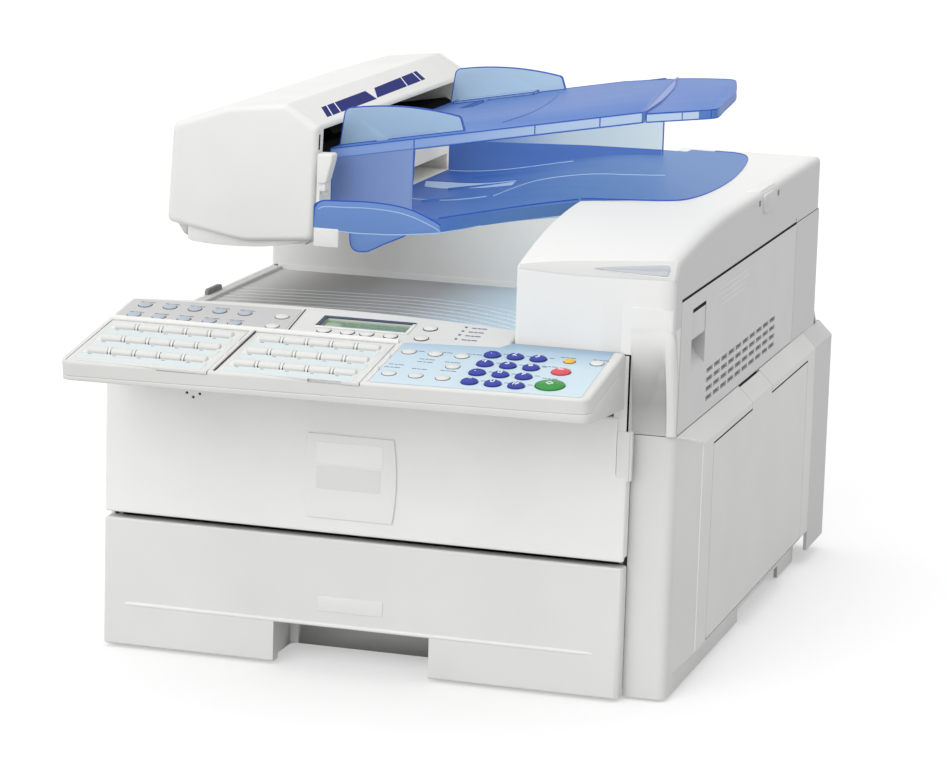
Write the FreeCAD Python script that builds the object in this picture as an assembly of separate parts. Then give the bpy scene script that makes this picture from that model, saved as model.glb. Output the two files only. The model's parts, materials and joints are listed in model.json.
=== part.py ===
import FreeCAD, Part
import math
import os

# Free-standing laser fax machine with a paper cassette, a document feeder and an operation panel.
# Drawn from the left side (x), the front face (y, positive to the back) and the table (z), in millimetres.

V = FreeCAD.Vector

# Housing planes and walls
cover_width = 355.0
column_width = 28.0
bulge_out = 10.0
body_depth = 444.0
rear_bulge = 21.0
wall = 2.5
skirt = 2.0

# Clearances
seam = 0.5
seat = 0.2
run_fit = 0.06
swing_gap = 0.8

# Chassis plates, rails and feet
plate = 3.0
chassis_inset = 4.0
chassis_front = 16.0
foot_height = 2.5
foot_radius = 9.0
rail_width = 26.0
deck_z = 95.0

# Cassette and its lift plate
cassette_height = 89.3
cassette_front = 10.0
cassette_length = 338.0
cassette_inset = 11.0
cassette_wall_height = 50.0
notch_left = 120.0
notch_width = 107.0
notch_height = 28.7
notch_depth = 38.0
sheet_length = 279.4
sheet_width = 215.9
lift_plate_thickness = 2.0
lift_barrel = 2.0
lift_pin_radius = 1.2

# Front cover
hinge_y = 6.0
cover_gap = 3.3
cover_top = 187.0
cover_return = 10.0
cover_pin_radius = 1.8
badge_width = 60.0
badge_height = 56.0
badge_left = 141.0
badge_bottom = 103.0

# Right column, bulged lower cover and its door
column_front = 12.2
column_top = 174.5
shoulder_top = 174.0
bulge_bottom = 16.0
bulge_front = 47.0
side_door_front = 79.0
side_door_bottom = 27.0
side_door_top = 158.5
door_tab_offset = 115.0
door_tab_width = 62.0
door_tab_rise = 9.5
door_pin_radius = 1.2

# Vent door in the upper right side
vent_door_bottom = 175.0
vent_door_top = 261.5
grip_front = 45.0
grip_width = 38.0
grip_bottom = 211.0
grip_height = 38.0
grip_depth = 9.0
grille_front = 92.0
grille_pitch = 21.4
grille_columns = 10
grille_rows = 4
grille_row_pitch = 6.2
grille_bottom = 183.0
slot_width = 17.5
slot_height = 3.2

# Top cover over the fuser
hump_width = 106.0
hump_front_left = 4.0
hump_front_right = 0.0
crease_left = 278.6
crease_right = 287.5
hump_top = 299.5
hump_flat_from = 158.0
hump_lip = 227.5
recess_depth = 3.6

# Output tray and rear riser
output_tray_z = 206.0
ridge_count = 6
ridge_start = 8.0
ridge_pitch = 13.0
ridge_width = 5.0
ridge_height = 0.8
riser_depth = 124.0

# Document feeder
feeder_front = 88.0
feeder_bottom = 264.0
cap_length = 12.0
feeder_skin = 2.6
feeder_hinge_x = 14.0
feeder_pin_radius = 2.0
lever_x = 117.0
slot_half = 135.0
sensor_half = 128.0
lever_pin_radius = 1.5
post_right = 128.0
feed_roller_radius = 10.0
feed_roller_x = 76.0

# Document tray, its guides and the lower exit tray
tray_left = 114.5
tray_rise = 64.4
tray_slope = 10.2
tray_front = 112.0
tray_rear_gap = 52.0
tray_plate = 3.0
tray_rim = 7.0
tray_end_front = 54.0
tray_end_back = 93.0
extension_end = 4.0
extension_bend = 73.0
extension_slope = 7.0
tongue_width = 42.0
guide_front = 130.0
guide_rear_gap = 5.0
guide_thickness = 2.4
guide_length = 87.0
guide_height = 26.0
guide_travel = 56.0
exit_left = 112.6
exit_front = 85.0
exit_rear_gap = 18.0
exit_rise = 13.0
exit_skirt = 8.0
exit_plate = 2.8

# Operation panel, drawn flat and then tilted about its front right corner
panel_tilt = 9.0
panel_left = 8.0
panel_side_gap = 4.0
panel_pivot_y = -87.0
panel_pivot_z = 215.3
panel_front_left = -13.0
panel_depth = 113.0
panel_bow = 12.0
panel_skirt = 10.0
panel_plate = 5.0
panel_floor = 191.0
panel_nose = 199.5
flip_plate = 2.0
flip_pin_radius = 0.9
key_gap = 0.5
key_flange = 0.9
key_rise = 1.6
dial_pitch_u = 15.0
dial_pitch_v = 16.7
dial_front = 11.8
dial_key_radius = 5.3
round_key_radius = 4.4
bar_gap = 1.4
bar_margin = 6.0
bar_depth = 6.6
bar_row_pitch = 23.5
bar_row_front = 6.6
flip_left = 12.0
flip_bar = 4.0
key_field = 145.0
flip_hinge_v = 67.5

# Print engine
fuser_inset = 61.0
fuser_z = 238.0
fuser_radius = 14.0
pressure_radius = 13.0
exit_roller_inset = 14.0
exit_roller_z = 247.0
exit_roller_radius = 7.0
shaft_radius = 4.0
bracket_front = 30.0
pickup_inset = 33.0
toner_inset = 103.0
toner_width = 74.0
pickup_z = 76.0
pickup_radius = 12.0

# Sockets in the back
inlet_x = 54.0
socket_z = 50.0
inlet_width = 27.0
inlet_height = 20.0
jack_x = 110.0
jack_pitch = 22.0
jack_size = 14.0

# Sizes that follow from the ones above
body_width = cover_width + column_width
side_out = body_width + bulge_out
rear_out = body_depth + rear_bulge
cover_bottom = cassette_height + cover_gap
plate_left = chassis_inset + plate
plate_right = cover_width - chassis_inset - plate
rail_top = foot_height + plate
deck_top = deck_z + plate
beam_top = panel_floor - seat
hinge_z = cover_bottom + 4.4
rear_step = shoulder_top - bulge_out
chassis_back = body_depth - 6.0
right_cover_back = body_depth - 38.0
side_door_back = right_cover_back - 27.0
door_tab_front = side_door_front + door_tab_offset
door_tab_back = door_tab_front + door_tab_width
vent_door_back = body_depth - 80.0
low_gap_front = 221.0
low_gap_back = body_depth - 92.0
low_gap_height = 9.0
hump_left = body_width - hump_width
hump_foot = output_tray_z - 2.0
leg_left = cover_width - 1.5
leg_top = hump_lip + 17.5
leg_bend = hump_lip - 19.5
riser_front = body_depth - riser_depth
riser_top = feeder_bottom - seat
feeder_hinge_z = feeder_bottom + 41.0
feed_roller_z = feeder_bottom + 56.0
lever_z = feeder_bottom + 42.0
feeder_back = body_depth - 4.0
feeder_right = 112.0
tray_left_z = feeder_bottom + tray_rise
tray_back = body_depth - tray_rear_gap
tray_right_front = body_width - tray_end_front
tray_right_back = body_width - tray_end_back
extension_right = body_width - extension_end
extension_bend_x = body_width - extension_bend
runner_left = tray_right_back - 80.0
runner_right = tray_right_back
guide_back = tray_back - guide_rear_gap
exit_back = body_depth - exit_rear_gap
exit_left_z = feeder_bottom + exit_rise
exit_right = body_width - 34.0
panel_right = cover_width - panel_side_gap
flip_width = (panel_right - key_field - flip_left - flip_bar) / 2
bar_pitch = (flip_width - 2 * bar_margin) / 5
bar_width = bar_pitch - bar_gap
dial_left = panel_right - 79.4
fuser_x = body_width - fuser_inset
exit_roller_x = hump_left + exit_roller_inset
pickup_x = cover_width - pickup_inset
toner_left = cover_width - toner_inset
bracket_back = riser_front + 6.0
pressure_x = fuser_x + fuser_radius + pressure_radius + seam
hump_inner_top = hump_top - recess_depth - wall
slope = math.tan(math.radians(tray_slope))


def lifted(plane, at):
    """Return the function that puts a drawing's two coordinates on a plane of the machine."""
    maps = {
        "xy": lambda a, b: V(a, b, at),
        "xz": lambda a, b: V(a, at, b),
        "yz": lambda a, b: V(at, a, b),
    }
    return maps[plane]


def corner_points(before, corner, after):
    """Return a corner's point, or the three points of the arc that rounds it."""
    p = V(corner[0], corner[1], 0)
    if len(corner) < 3:
        return [p]
    back = (V(before[0], before[1], 0) - p).normalize()
    ahead = (V(after[0], after[1], 0) - p).normalize()
    half = back.getAngle(ahead) / 2
    middle = (back + ahead).normalize()
    run = corner[2] / math.tan(half)
    reach = corner[2] / math.sin(half) - corner[2]
    return [p + back * run, p + middle * reach, p + ahead * run]


def outline(plane, at, corners, bows=None):
    """Return a closed wire; a corner's third number rounds it, and bows names points on bowed sides."""
    put = lifted(plane, at)
    bows = bows or {}
    count = len(corners)
    marks = [corner_points(corners[i - 1], corners[i], corners[(i + 1) % count]) for i in range(count)]
    edges = []
    for i in range(count):
        if len(marks[i]) == 3:
            edges.append(Part.Arc(*[put(p.x, p.y) for p in marks[i]]).toShape())
        start = put(marks[i][-1].x, marks[i][-1].y)
        end = put(marks[(i + 1) % count][0].x, marks[(i + 1) % count][0].y)
        if i in bows:
            edges.append(Part.Arc(start, put(*bows[i]), end).toShape())
        elif (end - start).Length > 1e-6:
            edges.append(Part.LineSegment(start, end).toShape())
    return Part.Wire(edges)


def prism(plane, lo, hi, corners, bows=None):
    """Return a drawing extruded square to its plane from lo to hi."""
    along = {"xy": V(0, 0, 1), "xz": V(0, 1, 0), "yz": V(1, 0, 0)}[plane]
    return Part.Face(outline(plane, lo, corners, bows)).extrude(along * (hi - lo))


def block(x0, x1, y0, y1, z0, z1):
    """Return a box between two corners."""
    return Part.makeBox(x1 - x0, y1 - y0, z1 - z0, V(x0, y0, z0))


def rod(axis, a, b, radius, lo, hi):
    """Return a cylinder along an axis, at the two other coordinates."""
    start = {"x": V(lo, a, b), "y": V(a, lo, b), "z": V(a, b, lo)}[axis]
    along = {"x": V(1, 0, 0), "y": V(0, 1, 0), "z": V(0, 0, 1)}[axis]
    return Part.makeCylinder(radius, hi - lo, start, along)


def fused(first, *others):
    """Return solids joined into one."""
    return first.fuse(list(others)).removeSplitter()


def cut(shape, *tools):
    """Return a solid less the tools."""
    return shape.cut(list(tools))


def group(*solids):
    """Return separate solids as one node."""
    return Part.makeCompound(list(solids))


def tray_top(x):
    """Return the height of the document tray's upper face."""
    return tray_left_z + (x - tray_left) * slope


def tilted(shape):
    """Return a shape drawn flat on the panel, moved to its tilted place."""
    turned = shape.copy()
    turned.rotate(V(0, 0, 0), V(1, 0, 0), panel_tilt)
    turned.translate(V(0, panel_pivot_y, panel_pivot_z))
    return turned


def panel_back(v, z):
    """Return where the panel's tilted back face stands at a height, for a depth on its own plane."""
    tilt = math.radians(panel_tilt)
    fall = panel_pivot_z + v * math.sin(tilt) - z
    return panel_pivot_y + v * math.cos(tilt) + fall * math.tan(tilt)


def side_plate(outer, inner, rail_end):
    """Return one chassis side with its rail and the horn that carries the front cover."""
    x0, x1 = min(outer, inner), max(outer, inner)
    sheet = block(x0, x1, chassis_front, chassis_back, foot_height, beam_top)
    rail = block(min(inner, rail_end), max(inner, rail_end), chassis_front, chassis_back, foot_height,
                 rail_top)
    horn = block(x0, x1, hinge_y, chassis_front, hinge_z - plate, hinge_z + plate)
    nose = rod("x", hinge_y, hinge_z, plate, x0, x1)
    bore = rod("x", hinge_y, hinge_z, cover_pin_radius + run_fit, x0, x1)
    return cut(fused(sheet, rail, horn, nose), bore)


def bracket(front):
    """Return one bearing plate for the fuser, pressure and exit rollers."""
    back = front + plate
    left = hump_left + wall + swing_gap
    corners = [
        (plate_right - 20, deck_top),
        (plate_right, deck_top),
        (plate_right, beam_top + plate),
        (body_width - 7, beam_top + 10, 3),
        (body_width - 7, fuser_z + 18, 3),
        (left, exit_roller_z + 14, 3),
        (left, exit_roller_z - 16, 3),
        (plate_right - 20, fuser_z - 38),
    ]
    sheet = prism("xz", front, back, corners)
    bores = [
        rod("y", x, z, shaft_radius + run_fit, front, back)
        for x, z in ((fuser_x, fuser_z), (pressure_x, fuser_z), (exit_roller_x, exit_roller_z))
    ]
    return cut(sheet, *bores)


def chassis_plates():
    """Return the side plates, the rear floor and the two roller brackets."""
    left = side_plate(chassis_inset, plate_left, plate_left + rail_width)
    right = side_plate(cover_width - chassis_inset, plate_right, plate_right - rail_width)
    floor_front = cassette_length + cassette_front
    floor = block(plate_left + rail_width, plate_right - rail_width, floor_front, chassis_back,
                  foot_height, rail_top)
    return group(left, right, floor, bracket(bracket_front), bracket(bracket_back))


def chassis_deck():
    """Return the deck over the cassette, with the pick-up roller's hangers, and the front beam."""
    deck = block(plate_left, plate_right, chassis_front + plate, chassis_back, deck_z, deck_top)
    hangers = []
    for y in (112.0, 235.0):
        hanger = block(pickup_x - 14, pickup_x + 14, y, y + plate, pickup_z - 8, deck_z)
        hangers.append(cut(hanger, rod("y", pickup_x, pickup_z, shaft_radius + run_fit, y, y + plate)))
    beam = block(plate_left, plate_right, chassis_front + plate, bracket_front - seam, beam_top - 14,
                 beam_top)
    return group(fused(deck, *hangers), beam)


def rubber_feet():
    """Return four round feet under the rails."""
    feet = []
    for x in (plate_left + rail_width / 2, plate_right - rail_width / 2):
        for y in (chassis_front + 26, chassis_back - 26):
            foot = Part.makeCone(foot_radius - 1, foot_radius, foot_height, V(x, y, 0))
            feet.append(foot)
    return group(*feet)


def left_cover():
    """Return the left side with its ledge for the output tray and its cooling slots."""
    front = cassette_front + cover_return / 4
    corners = [
        (front, skirt),
        (low_gap_front, skirt),
        (low_gap_front, skirt + low_gap_height),
        (low_gap_back, skirt + low_gap_height),
        (low_gap_back, skirt),
        (body_depth - wall - seam, skirt),
        (body_depth - wall - seam, output_tray_z + wall),
        (front, output_tray_z + wall),
    ]
    side = prism("yz", 0, wall, corners)
    ledge = block(wall, wall + 6, panel_back(panel_depth, output_tray_z) + 2, riser_front - seam,
                  output_tray_z - 6 - seat, output_tray_z - 3 - seat)
    slots = [block(0, wall, 240 + 11 * i, 246 + 11 * i, 120, 165) for i in range(9)]
    return fused(cut(side, *slots), ledge)


def rear_cover():
    """Return the stepped back with its side returns and the cut-outs for the sockets."""
    shoulder = wall * 0.414
    low = skirt + low_gap_height
    step_top = rear_step + rear_bulge
    steps = [
        (rear_out, low, 0.5),
        (rear_out, rear_step),
        (body_depth, step_top),
        (body_depth, vent_door_top),
        (body_depth - wall, vent_door_top),
        (body_depth - wall, step_top - shoulder),
        (rear_out - wall, rear_step - shoulder),
        (rear_out - wall, low),
    ]
    back = prism("yz", 0, body_width, steps)
    end = [
        (body_depth - wall, low),
        (rear_out, low),
        (rear_out, rear_step),
        (body_depth, step_top),
        (body_depth - wall, step_top),
    ]
    left_end = prism("yz", 0, wall, end)
    lower_front = right_cover_back + seam
    corner = [
        (body_width, shoulder_top),
        (side_out, rear_step),
        (side_out, low),
        (side_out - wall, low),
        (side_out - wall, rear_step - shoulder),
        (body_width - wall, shoulder_top - shoulder),
    ]
    side = prism("xz", lower_front, rear_out, corner)
    lower_back = prism("xz", rear_out - wall, rear_out,
                       [(body_width - wall, shoulder_top), (body_width, shoulder_top),
                        (side_out, rear_step),
                                                         (side_out, low), (body_width - wall, low)])
    upper_side = block(body_width - wall, body_width, vent_door_back + swing_gap, body_depth,
                       column_top + seam, vent_door_top)
    join = block(body_width - wall, body_width, lower_front, body_depth, shoulder_top - shoulder,
                 column_top + wall)
    riser_room = block(-1, hump_left, body_depth - 2 * wall, body_depth + 1, output_tray_z + wall,
                       vent_door_top + 1)
    shell = fused(back, left_end, side, lower_back, upper_side, join).cut(riser_room)
    holes = [block(inlet_x - inlet_width / 2 - seat, inlet_x + inlet_width / 2 + seat,
                   rear_out - 3 * wall, rear_out,
                   socket_z - inlet_height / 2 - seat, socket_z + inlet_height / 2 + seat)]
    half = jack_size / 2 + seat
    for i in range(2):
        x = jack_x + i * jack_pitch
        holes.append(block(x - half, x + half, rear_out - 3 * wall, rear_out, socket_z - half,
                           socket_z + half))
    vents = [block(200 + 12 * i, 206 + 12 * i, rear_out - 2 * wall, rear_out, 60,
                   120) for i in range(10)]
    return cut(shell, *holes, *vents)


def socket_body(x, width, height, hollow_width, hollow_height, depth):
    """Return a socket pushed through the back wall, with its flange inside and its mouth outwards."""
    back = rear_out
    body = block(x - width / 2, x + width / 2, back - depth, back, socket_z - height / 2,
                 socket_z + height / 2)
    flange = block(x - width / 2 - 3, x + width / 2 + 3, back - wall - seat - 2, back - wall - seat,
                   socket_z - height / 2 - 3, socket_z + height / 2 + 3)
    mouth = block(x - hollow_width / 2, x + hollow_width / 2, back - depth + 2, back,
                  socket_z - hollow_height / 2, socket_z + hollow_height / 2)
    return cut(fused(body, flange), mouth)


def rear_sockets():
    """Return the power inlet with its blades and the two line jacks."""
    inlet = socket_body(inlet_x, inlet_width, inlet_height, inlet_width - 3, inlet_height - 3.5, 18)
    blades = [
        block(inlet_x + dx - 1, inlet_x + dx + 1, rear_out - 17, rear_out - 8, socket_z + dz - 2,
              socket_z + dz + 2)
        for dx, dz in ((-7, -2), (0, 2), (7, -2))
    ]
    jacks = [socket_body(jack_x + i * jack_pitch, jack_size, jack_size, 11, 9, 14) for i in range(2)]
    return group(fused(inlet, *blades), *jacks)


def bulge(back, inset):
    """Return the solid swelling of the lower right side, drawn in by an inset."""
    out = side_out - inset
    low = [(body_width - 6, bulge_bottom + inset), (body_width, bulge_bottom + inset),
           (out, bulge_bottom + 10 + inset),
           (out, shoulder_top - bulge_out - inset * 0.414),
           (body_width - inset, shoulder_top - inset * 0.414),
           (body_width - 6, shoulder_top - inset * 0.414)]
    plan = [(body_width - 6, column_front + 3 + inset), (body_width - inset, column_front + 8 + inset),
            (out, bulge_front + inset), (out, back), (body_width - 6, back)]
    return prism("xz", 0, back, low).common(prism("xy", 0, 300, plan))


def door_tab(inset, grow):
    """Return the pull tab that climbs the shoulder, as a bent plate with room to spare."""
    out = side_out - inset
    rise = door_tab_rise + grow
    corners = [(out, side_door_top - 4), (out, shoulder_top - bulge_out),
               (out - rise, shoulder_top - bulge_out + rise),
               (out - rise - wall, shoulder_top - bulge_out + rise - wall),
               (out - wall, shoulder_top - bulge_out - 1),
               (out - wall, side_door_top - 4)]
    return prism("xz", door_tab_front - grow, door_tab_back + grow, corners)


def right_cover():
    """Return the front column and the bulged lower side, open where its door sits."""
    column_plan = [(cover_width - seam, column_front), (body_width, column_front, 6),
                   (body_width, right_cover_back),
                   (body_width - wall, right_cover_back), (body_width - wall, column_front + wall, 3.5),
                   (cover_width - seam, column_front + wall)]
    column = prism("xy", skirt, column_top, column_plan)
    low_gap = block(body_width - 2 * wall, body_width, low_gap_front, low_gap_back, skirt,
                    skirt + low_gap_height)
    column = cut(column, low_gap)
    shell = column.fuse(bulge(right_cover_back, 0)).cut(bulge(right_cover_back, wall))
    inside = prism("xy", skirt, column_top, [(body_width - 3 * wall, column_front + wall),
                                             (body_width - wall, column_front + wall, 3.5),
                                             (body_width - wall, right_cover_back),
                                             (body_width - 3 * wall, right_cover_back)])
    shell = shell.cut(inside)
    door_hole = block(body_width - 3 * wall, side_out + 1, side_door_front - swing_gap,
                      side_door_back + swing_gap,
                      side_door_bottom - swing_gap, side_door_top + swing_gap)
    tab_hole = prism("xz", door_tab_front - swing_gap, door_tab_back + swing_gap,
                     [(body_width - wall - 1, side_door_top), (side_out + 1, side_door_top),
                      (side_out + 1, shoulder_top),
                      (side_out - door_tab_rise - swing_gap, shoulder_top + 3),
                      (body_width - wall - 1, shoulder_top - 4)])
    shell = shell.cut([door_hole, tab_hole])
    latch = block(cover_width - 6, cover_width + 2, column_front, column_front + wall,
                  column_top - 24.5, column_top - wall)
    pins = []
    for y, step in ((side_door_front - swing_gap, 1), (side_door_back + swing_gap, -1)):
        pins.append(rod("y", side_out - wall / 2, side_door_bottom + 2.2, door_pin_radius,
                        min(y, y + 4 * step),
                        max(y, y + 4 * step)))
    pivot_y = vent_door_back - wall / 2
    pivot = block(body_width - 3 * wall, body_width, pivot_y - 5, pivot_y + 5, shoulder_top - 12,
                  column_top)
    bore = rod("z", body_width - wall / 2, pivot_y, door_pin_radius + run_fit, column_top - 2.5,
               column_top + 1)
    return cut(fused(shell, latch, pivot, *pins), bore)


def side_door():
    """Return the jam door in the bulge, hung on two pins along its lower edge."""
    panel = prism("yz", side_out - wall, side_out,
                  [(side_door_front, side_door_bottom, 2), (side_door_back, side_door_bottom, 2),
                                                    (side_door_back, side_door_top, 2),
                                                    (side_door_front, side_door_top, 2)])
    ribs = [block(side_out - wall - 3, side_out - wall, y, y + 2, side_door_bottom + 12,
                  side_door_top - 12)
            for y in (side_door_front + 20, side_door_back - 22)]
    door = fused(panel, door_tab(0, 0), *ribs)
    bores = [rod("y", side_out - wall / 2, side_door_bottom + 2.2, door_pin_radius + run_fit, y, y + 4)
             for y in (side_door_front, side_door_back - 4)]
    return cut(door, *bores)


def vent_door():
    """Return the upper side door with its grip, its grille and its upright hinge pins."""
    front = column_front + wall + seam
    low, high = vent_door_bottom + seam, vent_door_top - seam
    panel = prism("yz", body_width - wall, body_width,
                  [(front, low), (vent_door_back, low), (vent_door_back, high), (front, high)])
    pocket = block(body_width - grip_depth - wall, body_width - wall, grip_front - wall,
                   grip_front + grip_width + wall,
                   grip_bottom - wall, grip_bottom + grip_height + wall)
    hollow = prism("xz", grip_front, grip_front + grip_width,
                   [(body_width - grip_depth, grip_bottom + 10),
                                                               (body_width, grip_bottom),
                                                               (body_width, grip_bottom + grip_height),
                                                               (body_width - grip_depth,
                                                                grip_bottom + grip_height)])
    slots = []
    for row in range(grille_rows):
        for column in range(grille_columns):
            y = grille_front + column * grille_pitch
            z = grille_bottom + row * grille_row_pitch
            slots.append(block(body_width - wall, body_width, y, y + slot_width, z, z + slot_height))
    pins = [rod("z", body_width - wall / 2, vent_door_back - wall / 2, door_pin_radius, high - 1,
                high + seam + 2),
            rod("z", body_width - wall / 2, vent_door_back - wall / 2, door_pin_radius, low - seam - 2,
                low + 1)]
    return fused(cut(fused(panel, pocket), hollow, *slots), *pins)


def hump_profile(x, front, crease, middle, flat_from, top, rear, foot):
    """Return one end section of the top cover: upright front, arched slope, flat top."""
    corners = [(rear, foot), (front, foot), (front, crease), (flat_from, top), (rear, top)]
    return outline("yz", x, corners, {2: (front + middle[0], crease + middle[1])})


def hump_solid(inset, top):
    """Return the loft between the top cover's left and right sections, drawn in by an inset."""
    rise_left = (64.0, 13.6 - (hump_top - top - inset) / 2)
    rise_right = (64.0, 7.6 - (hump_top - top - inset) / 2)
    left = hump_profile(hump_left + inset, hump_front_left + inset, crease_left - inset, rise_left,
                        hump_flat_from, top,
                        body_depth - inset, hump_foot)
    right = hump_profile(body_width - inset, hump_front_right + inset, crease_right - inset, rise_right,
                         hump_flat_from,
                         top, body_depth - inset, hump_foot)
    return Part.makeLoft([left, right], True, True)


def front_at(x):
    """Return where the top cover's front face stands at a width."""
    share = (x - hump_left) / (body_width - hump_left)
    return hump_front_left + share * (hump_front_right - hump_front_left)


def leg_profile(x):
    """Return the section of the leg that curves back from the front face to the column."""
    front = front_at(x)
    foot = column_top + seam
    back = column_front + wall
    bend = front + 0.62 * (column_front - front)
    waist = (leg_bend + leg_top) / 2
    corners = [(front, leg_top), (column_front, leg_bend), (column_front, foot), (back, foot),
               (back, leg_bend + 1),
               (front + wall, leg_top)]
    return outline("yz", x, corners, {0: (bend, waist - 2.5), 4: (bend + wall, waist - 1)})


def recess_plan(grow):
    """Return the outline of the exit tray's place in the top cover, a little larger than the tray."""
    front = riser_front - 168
    return [(hump_left - 10, front - 1.5 - grow), (hump_left, front - grow),
            (exit_right - 13 + grow, front + 36 - grow, 22),
            (exit_right + grow, front + 140), (exit_right - 19 + grow, exit_back + grow, 26),
            (hump_left - 10, exit_back + grow)]


def lens_outline(grow):
    """Return the teardrop of the status lens on the front face, from its point to its blunt end."""
    right = body_width - 9
    return [(right - 51 - grow * 3, crease_left + 2.9),
            (right - 2 + grow, crease_left + 7.6 + grow, 2.0),
            (right + grow, crease_left + 0.4 - grow, 2.0)]


def top_cover():
    """Return the lofted shell over the fuser, with its leg, tray recess, lens seat and exit slot."""
    shell = hump_solid(0, hump_top).cut(hump_solid(wall, hump_inner_top))
    under = hump_foot - 1
    openings = [
        block(body_width - wall, body_width + 1, column_front + wall + seam, body_depth + 1, under,
              vent_door_top),
        block(hump_left + wall, body_width + 1, body_depth - wall, body_depth + 1, under,
              vent_door_top),
        block(hump_left - 1, leg_left, hump_front_right - 1, hump_front_left + wall, under, hump_lip),
        block(leg_left, body_width + 1, hump_front_right - 1, hump_front_left + wall, under, leg_top),
        block(leg_left, body_width + 1, hump_front_right - 1, column_front + wall + seam, under,
              leg_top),
        block(hump_left - 1, hump_left + wall + 1, riser_front - seam, body_depth + 1, under,
              riser_top + 8),
        block(hump_left - 1, hump_left + wall, bracket_front + 22, bracket_back - 18, exit_roller_z - 7,
              exit_roller_z + 7),
        prism("xy", hump_top - recess_depth, hump_top + 5, recess_plan(swing_gap)),
        prism("xz", hump_front_right - 1, hump_front_left + 1.5, lens_outline(seat)),
        rod("z", body_width - wall / 2, vent_door_back - wall / 2, door_pin_radius + run_fit,
            vent_door_top, vent_door_top + 4),
    ]
    leg = Part.makeLoft([leg_profile(leg_left), leg_profile(body_width)], True, True)
    block_above = block(body_width - 2 * wall, body_width - 0.01, vent_door_back - 5,
                        vent_door_back + 4, vent_door_top,
                        vent_door_top + 6)
    shell = fused(shell.cut(openings[:6]), block_above)
    return fused(shell.cut(openings[6:]), leg)


def status_lens():
    """Return the teardrop light seated in the top cover's front face."""
    return prism("xz", front_at(body_width - 11) - 0.6, hump_front_left + 1.5 - seat, lens_outline(0))


def output_tray():
    """Return the ridged deck that catches printed pages, with its left rim."""
    right = hump_left - seam
    left = wall + seat
    low = output_tray_z - 3
    front = panel_back(panel_depth, low) + swing_gap
    middle = panel_back(panel_depth + panel_bow, low) + swing_gap
    plan = [(left, front), (right, front), (right, riser_front - seam), (left, riser_front - seam)]
    floor = prism("xy", low, output_tray_z, plan, {0: ((panel_left + hump_left) / 2, middle)})
    rim = block(left, wall + 6, front + 2, riser_front - seam, low, output_tray_z + wall)
    ridges = []
    bow = middle - front
    centre = (left + right) / 2
    for i in range(ridge_count):
        y = middle + ridge_start + i * ridge_pitch
        corners = [(left + 20, y), (right - 8, y), (right - 8, y + ridge_width),
                   (left + 20, y + ridge_width)]
        bows = {0: (centre, y + bow), 2: (centre, y + ridge_width + bow)}
        ridges.append(prism("xy", output_tray_z - 1, output_tray_z + ridge_height, corners, bows))
    return fused(floor, rim, *ridges)


def rear_riser():
    """Return the box behind the output tray that carries the feeder."""
    right = hump_left - seam
    back = body_depth - seam
    bottom = output_tray_z + wall + seat
    outer = prism("xy", bottom, riser_top, [(0, riser_front, 3), (right, riser_front), (right, back),
                                            (0, back, 3)])
    outer = fused(outer, block(feeder_right + 8, right, riser_front, back, riser_top - wall,
                               riser_top + 6))
    inner = block(wall, right - wall, riser_front + wall, back - wall, bottom, riser_top - wall)
    upper = block(feeder_right + 8 + wall, right - wall, riser_front + wall, back - wall,
                  riser_top - 2 * wall, riser_top + 6 - wall)
    return cut(outer, inner, upper)


def feeder_section(grow, drop):
    """Return the feeder's cross-section seen from the front, grown outwards, with its crown lowered."""
    base = feeder_bottom
    return [
        (9.0 - grow, base + 13.0 - grow, 4),
        (12.5 - grow, base + 75.5 + grow - drop, 6),
        (50.0, base + 88.5 + grow - drop, 30),
        (90.0, base + 93.0 + grow - drop, 5),
        (111.0 + grow, base + 79.0 + grow - drop, 3),
        (108.5 + grow, base + 7.0 - grow, 4),
        (62.0, base + 3.0 - grow, 60),
    ]


def feeder_cap(face, joint):
    """Return a solid end cap that swells from its flat face to the feeder's full section."""
    step = (joint - face) * 0.45
    nose = outline("xz", face, feeder_section(-1.0, 3.0))
    full = outline("xz", face + step, feeder_section(2.5, 0))
    swell = Part.makeLoft([nose, full], True, True)
    low, high = min(face + step, joint), max(face + step, joint)
    body = prism("xz", low, high, feeder_section(2.5, 0))
    cap = fused(swell, body)
    pin = rod("y", feeder_hinge_x, feeder_hinge_z, feeder_pin_radius + run_fit,
              min(joint, joint - 4 * math.copysign(1, joint - face)),
              max(joint, joint - 4 * math.copysign(1, joint - face)))
    return cut(cap, pin)


def feeder_end_caps():
    """Return the front and rear caps of the feeder."""
    return group(feeder_cap(feeder_front, feeder_front + cap_length),
                 feeder_cap(feeder_back, feeder_back - cap_length))


def feeder_span():
    """Return the feeder's run between its caps."""
    return feeder_front + cap_length + seam, feeder_back - cap_length - seam


def lever_run():
    """Return the front and back faces of the post that carries the release lever."""
    front, _ = feeder_span()
    return front - 12.5, front + 7.5


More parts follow.
